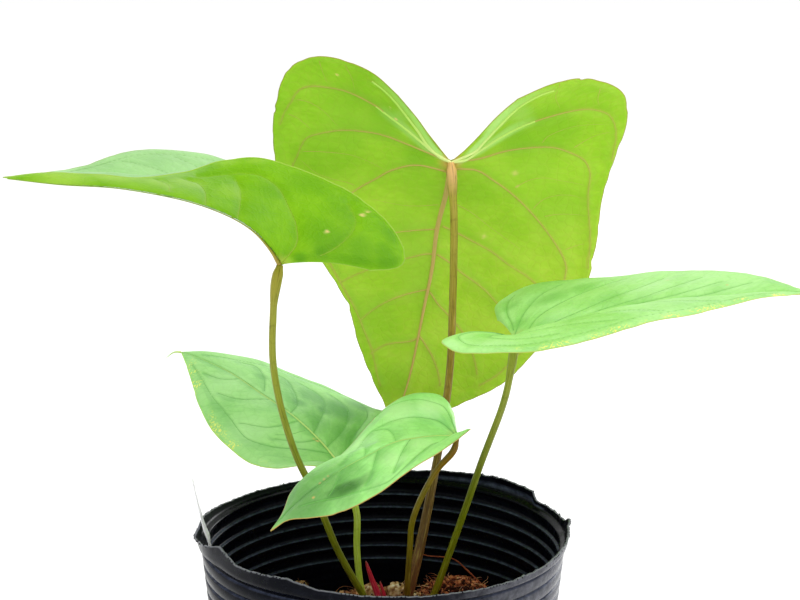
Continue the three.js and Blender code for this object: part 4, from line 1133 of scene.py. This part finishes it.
# Growing mix, with everything that lies on it
mix = {"edge": 83, "top": 100.7, "shoulder": 20, "lump": 1.1, "lumpFade": 9, "crown": (6, -3, 101),
       "crownRadius": 12.5, "steps": 300, "rings": 56, "crumbs": 2600, "fibres": 240, "seed": 11,
       "tufts": [(0.5, 11.5, 16), (20, 8, 8), (-7, 6, 4)],  # place and number of fibres
       "crumb": ((1.2, 3.6), (0, 0.55)), "largeCrumb": ((3.5, 6), (0, 0.55)),  # size and tone
       "small": 0.85,  # share of the crumbs that aren't large
       "fibre": ((5, 13), (0.25, 0.5), (0.2, 0.7)),  # length, thickness and tone
       "tuftFibre": ((5, 9), (0.16, 0.28), (0.2, 0.8)), "tuftLift": 1.2,
       "sunk": 0.8, "rimGap": 0.35, "tones": ["#301b13", "#553221", "#7d4c2f", "#a56a44", "#cc966c"]}
wallInside = potRadius(mix["edge"]) - pot["wall"] - mix["rimGap"]


def mixHeight(x, y):
    fall = smooth(math.hypot(x, y), mix["shoulder"], wallInside)
    fromCrown = math.hypot(x - mix["crown"][0], y - mix["crown"][1])
    clear = smooth(fromCrown, mix["crownRadius"], mix["crownRadius"] + mix["lumpFade"])
    bump = math.sin(x * 0.31 + 1) * math.cos(y * 0.27) + 0.6 * math.sin(x * 0.17 - y * 0.23)
    return mix["top"] + (mix["edge"] - mix["top"]) * fall + clear * mix["lump"] * bump


def earthSkin(name, tones, roughness=0.95, grainSize=0.9, bumpDepth=0.4):
    # loose earthy matter: matt, every crumb a different tone; grainSize and bumpDepth in mm
    material, tree, surface = startMaterial(name, Roughness=roughness, IOR=1.45, Specular_IOR_Level=0.25)
    place = addNode(tree, "ShaderNodeTexCoord").outputs["Object"]
    total = addNode(tree, "ShaderNodeAttribute", attribute_name="tone").outputs["Fac"]
    clouds = [{"Vector": place, "Scale": scale, "Detail": 4} for scale in (1000 / grainSize, 130)]
    fine, broad = [addNode(tree, "ShaderNodeTexNoise", cloud).outputs["Fac"] for cloud in clouds]
    for source, share in ((fine, 0.45), (broad, 0.35)):
        sums = {0: source, 1: share, 2: total}
        total = addNode(tree, "ShaderNodeMath", sums, operation="MULTIPLY_ADD").outputs[0]
    stops = [(0.2 + 0.7 * i / (len(tones) - 1), shade) for i, shade in enumerate(tones)]
    colour = addNode(tree, "ShaderNodeValToRGB", {0: total}, stops=stops).outputs[0]
    dress(tree, surface, colour, fine, 0.7, bumpDepth)
    return material


def toneLayer(bm):
    return bm.verts.layers.float.get("tone") or bm.verts.layers.float.new("tone")


def crumbShapes(rng, count=24):
    # a few jagged crumbs about 1 mm across, to be scattered as turned copies
    shapes = []
    for index in range(count):
        crumb = bmesh.new()
        toneLayer(crumb)
        bmesh.ops.create_icosphere(crumb, subdivisions=1, radius=0.5 * mm)
        stretch = [rng.uniform(0.5, 1.2) for _ in range(3)]
        for vert in crumb.verts:
            vert.co = Vector([c * k for c, k in zip(vert.co, stretch)]) * rng.uniform(0.72, 1.2)
        shape = bpy.data.meshes.new(f"crumb{index}")
        crumb.to_mesh(shape)
        crumb.free()
        shapes.append(shape)
    return shapes


crumbs = crumbShapes(random.Random(3))


def addCrumb(bm, rng, centre, size, tone):
    shape = rng.choice(crumbs)
    turn = Euler([rng.uniform(0, 6.3) for _ in range(3)]).to_matrix().to_4x4()
    place = Matrix.Translation(Vector(centre) * mm) @ turn @ Matrix.Scale(size, 4)
    shape.attributes["tone"].data.foreach_set("value", [tone] * len(shape.vertices))
    shape.transform(place)
    bm.from_mesh(shape)
    shape.transform(place.inverted())


def addFibre(bm, rng, start, length, thickness, tone, lift=0.3):
    heading = rng.uniform(0, 2 * math.pi)
    place = Vector(start)
    points = [place]
    climb = lift
    for _ in range(4):
        heading += rng.uniform(-0.7, 0.7)
        climb -= rng.uniform(0, 0.35)
        place = place + Vector((math.cos(heading), math.sin(heading), climb)) * length / 4
        points.append(place)
    path, _ = evenPath([point * mm for point in points], length / 7 * mm, 60)
    growTube(bm, path, taper(path, thickness / 2, 0.2 * thickness), sides=4, tone=tone)


def anywhere(rng, reach):
    # a random place on the mix, at most reach millimetres from the middle
    radius = reach * math.sqrt(rng.random())
    turn = rng.uniform(0, 2 * math.pi)
    return radius * math.cos(turn), radius * math.sin(turn)


def anyWay(rng):
    # a random direction
    return Vector([rng.gauss(0, 1) for _ in range(3)]).normalized()


def makeMix():
    rng = random.Random(mix["seed"])
    bm = bmesh.new()
    tone = toneLayer(bm)
    bottom = pot["floor"] + mix["rimGap"]
    profile = [(wallInside * i / mix["rings"] + 0.001, mix["top"]) for i in range(mix["rings"] + 1)]
    profile += [(potRadius(mix["edge"] * 0.5) - 1.3, mix["edge"] * 0.5), (potRadius(6) - 1.3, 6),
                (pot["baseRadius"] - 4, bottom), (0.001, bottom)]
    chain = [bm.verts.new((radius * mm, 0, height * mm)) for radius, height in profile]
    spinProfile(bm, chain, mix["steps"])
    for vert in bm.verts:
        spot = vert.co / mm
        vert[tone] = 0.15 + 0.2 * noise.noise(spot * 0.25)
        if vert.co.z > (mix["top"] - 1) * mm:
            rough = 1.3 * noise.noise(spot * 0.22) + 0.9 * abs(noise.noise(spot * 0.55)) - 0.6
            inside = 1 - smooth(math.hypot(spot.x, spot.y), wallInside - 4, wallInside)
            vert.co.z = (mixHeight(spot.x, spot.y) - mix["sunk"] + rough * inside) * mm
    bmesh.ops.recalc_face_normals(bm, faces=bm.faces)
    for _ in range(mix["crumbs"]):
        x, y = anywhere(rng, wallInside - 2)
        ranges = mix["crumb"] if rng.random() < mix["small"] else mix["largeCrumb"]
        addCrumb(bm, rng, (x, y, mixHeight(x, y) - 0.6), *draw(rng, ranges))
    for _ in range(mix["fibres"]):
        x, y = anywhere(rng, wallInside - 9)
        addFibre(bm, rng, (x, y, mixHeight(x, y) - 0.4), *draw(rng, mix["fibre"]))
    for x, y, count in mix["tufts"]:
        for _ in range(count):
            foot = (x + rng.uniform(-2.5, 2.5), y + rng.uniform(-1.5, 1.5), mixHeight(x, y) - 0.4)
            addFibre(bm, rng, foot, *draw(rng, mix["tuftFibre"]), mix["tuftLift"])
    skin = earthSkin("barkAndCoirMix", mix["tones"])
    finishPiece(bm, "potting_mix", "mix", ["growing_mix"], [skin], recalculate=False)


makeMix()
print("growing mix made")

# Coir chunk: a core covered with crumbs and fibres, and one loose strand
coir = {"centre": (30, 13, 103.5), "half": (14.5, 8, 6.5), "core": 0.88,
        "crumbs": 1500, "crumb": ((0.7, 2.8), (-0.5, 0.35)), "fibres": 150,
        "fibre": ((3, 9), (0.16, 0.3), (-0.1, 0.5)), "lift": 0.5, "lowest": -0.35, "seed": 5,
        "strand": [(44, 12, 105), (40, 14, 108.5), (35, 16, 113), (30.5, 16, 117), (26, 15, 118.7),
                   (18.5, 14.5, 119.6), (12.5, 14, 122)],
        "strandRadii": (0.42, 0.18),
        "tones": ["#34120a", "#74301b", "#ac5c3a", "#d88d62", "#f6c6a2"]}


def addLump(bm, centre, half, seed, coarse, deep, subdivisions, shade=0.3):
    # knobbly ellipsoid; coarse is how many bumps it has in its radius, and deep how far they stand out
    layer = toneLayer(bm)
    made = bmesh.ops.create_icosphere(bm, subdivisions=subdivisions, radius=1)["verts"]
    for vert in made:
        unit = vert.co.normalized()
        bump = 1 + 0.09 * math.sin(unit.x * 7 + seed) * math.cos(unit.y * 6 + unit.z * 5 + 2 * seed)
        bump += deep * noise.noise(unit * coarse + Vector((seed, seed, seed)))
        bump -= deep * 0.8 * abs(noise.noise(unit * coarse * 2.7 + Vector((0, seed, 0))))
        vert.co = Vector([(c + u * h * bump) * mm for c, u, h in zip(centre, unit, half)])
        vert[layer] = shade + 0.4 * noise.noise(unit * 3)


def makeCoir():
    rng = random.Random(coir["seed"])
    bm = bmesh.new()
    centre, half = Vector(coir["centre"]), coir["half"]
    core = [coir["core"] * h for h in half]
    addLump(bm, centre, core, seed=1, coarse=3, deep=0.12, subdivisions=5, shade=-0.25)
    for _ in range(coir["crumbs"]):
        way = anyWay(rng)
        if way.z < coir["lowest"]:
            continue
        place = centre + Vector([u * h * rng.uniform(0.86, 0.97) for u, h in zip(way, half)])
        addCrumb(bm, rng, place, *draw(rng, coir["crumb"]))
    for _ in range(coir["fibres"]):
        way = Vector([rng.gauss(0, 1), rng.gauss(0, 1), abs(rng.gauss(0, 1))]).normalized()
        place = centre + Vector([u * h * 0.9 for u, h in zip(way, half)])
        addFibre(bm, rng, place, *draw(rng, coir["fibre"]), coir["lift"])
    path, _ = evenPath([Vector(point) * mm for point in coir["strand"]], 0.8 * mm)
    growTube(bm, path, taper(path, *coir["strandRadii"]), sides=8, tone=0.05)
    skin = earthSkin("coirPith", coir["tones"], grainSize=0.6)
    finishPiece(bm, "coir_clump", "coir", ["coir_chunk"], [skin])


makeCoir()

# Three pumice lumps
stones = {"lumps": [((-5.5, 10, 104.5), (3, 3, 4)), ((5.5, 13, 104), (4.2, 3.4, 4.2)),
                    ((13, 13, 101.6), (2.4, 2.2, 2.2))],  # middle and half sizes
          "crumbs": 26, "crumb": ((0.7, 1.8), (-0.5, 0.4)), "seed": 30,
          "tones": ["#382114", "#7e5434", "#b5865a", "#e2be96", "#fff0da"]}


def makeStones():
    skin = earthSkin("pumiceGrain", stones["tones"], roughness=0.9, grainSize=1.2, bumpDepth=0.5)
    for index, (centre, half) in enumerate(stones["lumps"]):
        rng = random.Random(stones["seed"] + index)
        bm = bmesh.new()
        addLump(bm, centre, half, seed=3 + index, coarse=2.2, deep=0.14, subdivisions=4, shade=0.15)
        for _ in range(stones["crumbs"]):
            way = anyWay(rng)
            place = Vector(centre) + Vector([u * h * 0.88 for u, h in zip(way, half)])
            addCrumb(bm, rng, place, *draw(rng, stones["crumb"]))
        for face in bm.faces:
            face.smooth = face.calc_area() < 2e-7  # the larger crumbs keep flat sides
        finishPiece(bm, f"pumice_grain_{index + 1}", "pumice", [f"pumice_{index + 1}"], [skin])


makeStones()

# Bark chip
bark = {"centre": (-37, 43, 91), "half": (4.5, 3, 7), "core": 0.9, "slivers": 46, "seed": 17,
        "starts": ((-3.6, 3.6), (-2.2, 2.2), (-5, 4)), "ways": ((-3, 3), (-1, 1), (1, 4)),
        "tones": ["#3a2417", "#5d3b25", "#7d5436", "#9c734d", "#c09a6e"]}


def makeBark():
    # split bark: long slivers side by side round a core
    rng = random.Random(bark["seed"])
    bm = bmesh.new()
    centre = Vector(bark["centre"])
    core = [bark["core"] * h for h in bark["half"]]
    addLump(bm, centre, core, seed=2, coarse=2.4, deep=0.14, subdivisions=4)
    for _ in range(bark["slivers"]):
        start = centre + Vector(draw(rng, bark["starts"]))
        end = start + Vector(draw(rng, bark["ways"]))
        path, _ = evenPath([start * mm, start.lerp(end, 0.5) * mm, end * mm], 0.8 * mm, 40)
        widths = [rng.uniform(0.2, 0.75) * share for share in taper(path, 1, 0.3)]
        heights = [0.35 * w for w in widths]
        growTube(bm, path, widths, heights, sides=6, tone=rng.uniform(-0.3, 0.4), flat=True)
    skin = earthSkin("fibrousBark", bark["tones"], roughness=0.9, grainSize=0.8)
    finishPiece(bm, "bark_splinters", "bark", ["bark_chip"], [skin])


makeBark()

# Crown, which all stalks rise from
crown = {"radius": 11.6, "halfHeight": 12.6, "sunk": 13, "seed": 23, "scales": 26,
         "roots": 6, "rootReach": 46, "rootDrop": 38, "rootRadii": (1.9, 1.045),
         "tones": ["#4a3420", "#6f5230", "#8a7442", "#a58e58", "#c4ac78"]}


def rootKnots(turn, distance):
    return 0.12 * noise.noise(Vector((turn, distance / mm * 0.3, 2)))


def addStem(bm, x, y, top):
    layer = toneLayer(bm)
    made = bmesh.ops.create_icosphere(bm, subdivisions=5, radius=1)["verts"]
    for vert in made:
        unit = vert.co.normalized()
        squash = 1 / max(abs(unit.z), math.hypot(unit.x, unit.y))
        unit = unit.lerp(unit * squash, 0.75)
        knob = 1 + 0.1 * noise.noise(unit * 3) - 0.05 * abs(noise.noise(unit * 9))
        wide = crown["radius"] * knob
        height = top - crown["sunk"] + unit.z * crown["halfHeight"]
        vert.co = Vector((x + unit.x * wide, y + unit.y * wide, height)) * mm
        vert[layer] = 0.35 + 0.4 * noise.noise(unit * 4)


def addRoot(bm, x, y, top, root):
    # each root bends sideways while it reaches out and down
    turn = (root + 0.25) / crown["roots"] * 2 * math.pi
    start = top - 20
    drop = crown["rootDrop"] * (1 + 0.25 * math.sin(5 * root + 1))
    far = crown["rootReach"]
    spots = []
    for reach, height in ((3, start), (20, start - 5), (34, start - drop * 0.5), (far, start - drop)):
        near, angle = 1 - reach / far, turn + reach / 90
        spot = (x * near + reach * math.cos(angle), y * near + reach * math.sin(angle), height)
        spots.append(Vector(spot) * mm)
    path, _ = evenPath(spots, 1.5 * mm)
    growTube(bm, path, taper(path, *crown["rootRadii"]), sides=10, ridges=rootKnots, tone=0.6)


def addScale(bm, rng, x, y, top):
    # thin upright remains of an old sheath that lean outwards
    turn = rng.uniform(0, 2 * math.pi)
    reach = rng.uniform(3, 11)
    out = Vector((math.cos(turn), math.sin(turn), 0))
    foot = Vector((x, y, top - 1.4)) + out * reach
    lean = out * rng.uniform(0.3, 1.6)
    height = rng.uniform(1.5, 3.2)
    spots = [foot, foot + lean * 0.3 + Vector((0, 0, height * 0.6)), foot + lean + Vector((0, 0, height))]
    path, _ = evenPath([spot * mm for spot in spots], 0.5 * mm, 40)
    count = len(path) - 1
    widths = [1.3 * mm * math.sqrt(max(0.02, 1 - i / count)) for i in range(count + 1)]
    ups = [out + Vector((0, 0, 0.1))] * (count + 1)
    growTube(bm, path, widths, [0.12 * mm] * (count + 1), ups, sides=8, tone=rng.uniform(0.1, 0.9))


def makeCrown():
    # short stem with the dry remains of old sheaths, and its feeding roots down in the mix
    rng = random.Random(crown["seed"])
    bm = bmesh.new()
    addStem(bm, *mix["crown"])
    for root in range(crown["roots"]):
        addRoot(bm, *mix["crown"], root)
    for _ in range(crown["scales"]):
        addScale(bm, rng, *mix["crown"])
    for face in bm.faces:
        face.smooth = True
    skin = earthSkin("corkyStem", crown["tones"], roughness=0.8, grainSize=0.7, bumpDepth=0.2)
    finishPiece(bm, "plant_crown", "crown", ["crown_and_roots"], [skin])


makeCrown()
print("crown, coir, stones and bark made")

# Young sheath: rolled red membrane with fine ribs and a waxy shine
sheath = {"main": ([(-7, -14, 128), (-4.6, -13.2, 120), (-1.8, -12.2, 112), (0.5, -11, 102)], 1.85),
          "second": ([(-1.2, -13.4, 119), (0.8, -12.6, 111), (1.8, -11.6, 102)], 1.25),
          "tip": 0.12, "run": [(0, "#8a3a20"), (0.1, "#c2202c"), (0.55, "#cc2440"), (1, "#98302c")]}


def sheathRoll(turn, _):
    # fine ribs all round, and the lip where the membrane overlaps
    return 0.035 * math.cos(7 * turn) + 0.1 * smooth(math.cos(turn - 1), 0.9, 1)


def sheathSkin():
    # plant membrane: moist, shiny and thin enough for light to soften it
    material, tree, surface = startMaterial(
        "sheathMembrane", Roughness=0.33, IOR=1.42, Subsurface_Weight=0.1, Subsurface_Scale=0.001,
        Subsurface_Radius=(1, 0.2, 0.15))
    run = addNode(tree, "ShaderNodeAttribute", attribute_name="run").outputs["Fac"]
    grain = addNode(tree, "ShaderNodeAttribute", attribute_name="grain").outputs["Vector"]
    drawn = addNode(tree, "ShaderNodeMapping", {"Vector": grain, "Scale": (3, 3, 0.12)}).outputs[0]
    streak = addNode(tree, "ShaderNodeTexNoise", {"Vector": drawn, "Scale": 1.6, "Detail": 4}).outputs["Fac"]
    along = addNode(tree, "ShaderNodeValToRGB", {0: run}, stops=sheath["run"]).outputs[0]
    colour = layColours(tree, along, [
        (streak, 0.52, 0.7, 0, 0.6, "#ee7a86"), (streak, 0.48, 0.32, 0, 0.6, "#7c1024")])
    dress(tree, surface, colour, streak, 0.4, 0.1)
    return material


def makeSheath():
    bm = bmesh.new()
    tip = sheath["tip"]
    for points, radius in (sheath["main"], sheath["second"]):
        path, _ = evenPath([Vector(point) * mm for point in points], 0.5 * mm)
        count = len(path) - 1
        widths = [(tip + (radius - tip) * math.sqrt(i / count)) * mm for i in range(count + 1)]
        growTube(bm, path, widths, [0.86 * w for w in widths], sides=28, ridges=sheathRoll)
    finishPiece(bm, "new_leaf_sheath", "sheath", ["red_sheath"], [sheathSkin()])


makeSheath()

# Plain plant label: thin white strip that leans on the rim, bare on both faces
label = {"route": [(-56.4, 62), (-59, 74), (-63.9, 97), (-68, 114), (-70.8, 124), (-72.2, 128.4),
                   (-72.5, 132.4), (-74.4, 138), (-76, 145), (-77.1, 150.2),
                   (-78.6, 158)],  # x and height, from the foot up
         "halfWidth": 5.2, "halfTop": 2.6, "thickness": 0.5, "columns": 16, "rows": 160,
         "twist": (-0.05, -0.13)}  # how far across it turns to -X, at the foot and at the top


def labelSkin():
    # polystyrene sheet: smooth, white, a little light passes through
    material, tree, surface = startMaterial(
        "polystyreneWhite", Roughness=0.35, IOR=1.55, Subsurface_Weight=0.5, Subsurface_Scale=0.002,
        Subsurface_Radius=(1, 1, 1))
    place = addNode(tree, "ShaderNodeTexCoord").outputs["Object"]
    cloud = addNode(tree, "ShaderNodeTexNoise", {"Vector": place, "Scale": 90, "Detail": 5}).outputs["Fac"]
    fine = addNode(tree, "ShaderNodeTexNoise", {"Vector": place, "Scale": 1300, "Detail": 2}).outputs["Fac"]
    white = [(0.3, "#f4f2fc"), (0.6, "#fdfcff")]
    colour = addNode(tree, "ShaderNodeValToRGB", {0: cloud}, stops=white).outputs[0]
    dress(tree, surface, colour, fine, 0.15, 0.05)
    return material


def makeLabel():
    bm = bmesh.new()
    middle = through([(x, 0, z) for x, z in label["route"]])
    low, high = label["twist"]
    bmesh.ops.create_grid(bm, x_segments=label["columns"], y_segments=label["rows"], size=0.5)
    for vert in bm.verts:
        share, across = vert.co.y + 0.5, vert.co.x * 2
        place = middle(share)
        rounded = math.sqrt(max(0, 1 - smooth(share, 0.97, 1.02) ** 2))
        wide = label["halfWidth"] + (label["halfTop"] - label["halfWidth"]) * smooth(share, 0.68, 1)
        wide *= across * smooth(share, -0.08, 0.22) * rounded
        turned = place.x + wide * (low + (high - low) * smooth(share, 0.4, 0.9))
        vert.co = Vector((turned, wide, place.z)) * mm
    bmesh.ops.recalc_face_normals(bm, faces=bm.faces)
    bmesh.ops.solidify(bm, geom=bm.faces[:], thickness=label["thickness"] * mm)
    bmesh.ops.recalc_face_normals(bm, faces=bm.faces)
    for face in bm.faces:
        face.smooth = True
    finishPiece(bm, "label_strip", "label_plastic", ["plant_label"], [labelSkin()], recalculate=False)


makeLabel()
print("sheath and label made")

# Studio: plain pale floor, white surroundings and large soft lights
studio = {"floor": 9, "world": 1.02, "aim": (0, 0, 0.2),
          "lights": [("keyLight", (0.7, -0.9, 1.7), 0.7, 4), ("topLight", (0.3, 0.5, 1.6), 1.2, 6),
                     ("rimLight", (1.1, 1.3, 0.5), 0.7, 9)]}  # name, place, size and power


def floorSkin():
    # painted board: matt, nearly even white
    material, tree, surface = startMaterial("paintedBoard", Roughness=0.9)
    place = addNode(tree, "ShaderNodeTexCoord").outputs["Object"]
    cloud = addNode(tree, "ShaderNodeTexNoise", {"Vector": place, "Scale": 20, "Detail": 3}).outputs["Fac"]
    white = [(0, "#fcfcfc"), (1, "#ffffff")]
    colour = addNode(tree, "ShaderNodeValToRGB", {0: cloud}, stops=white).outputs[0]
    tree.links.new(colour, surface.inputs["Base Color"])
    return material


def makeFloor():
    bm = bmesh.new()
    bmesh.ops.create_grid(bm, x_segments=8, y_segments=8, size=studio["floor"])
    mesh = bpy.data.meshes.new("studioFloor")
    bm.to_mesh(mesh)
    bm.free()
    floor = bpy.data.objects.new("studioFloor", mesh)
    bpy.context.scene.collection.objects.link(floor)
    mesh.materials.append(floorSkin())


def lightStudio():
    world = bpy.data.worlds.new("whiteStudio")
    world.use_nodes = True
    background = world.node_tree.nodes["Background"]
    background.inputs["Color"].default_value = (1, 1, 1, 1)
    background.inputs["Strength"].default_value = studio["world"]
    bpy.context.scene.world = world
    for name, spot, size, power in studio["lights"]:
        lamp = bpy.data.lights.new(name, "AREA")
        lamp.size = size
        lamp.energy = power
        body = bpy.data.objects.new(name, lamp)
        body.location = spot
        body.rotation_euler = (Vector(studio["aim"]) - Vector(spot)).to_track_quat("-Z", "Y").to_euler()
        bpy.context.scene.collection.objects.link(body)
    bpy.context.scene.view_settings.view_transform = "Standard"


makeFloor()
lightStudio()
print("studio made")
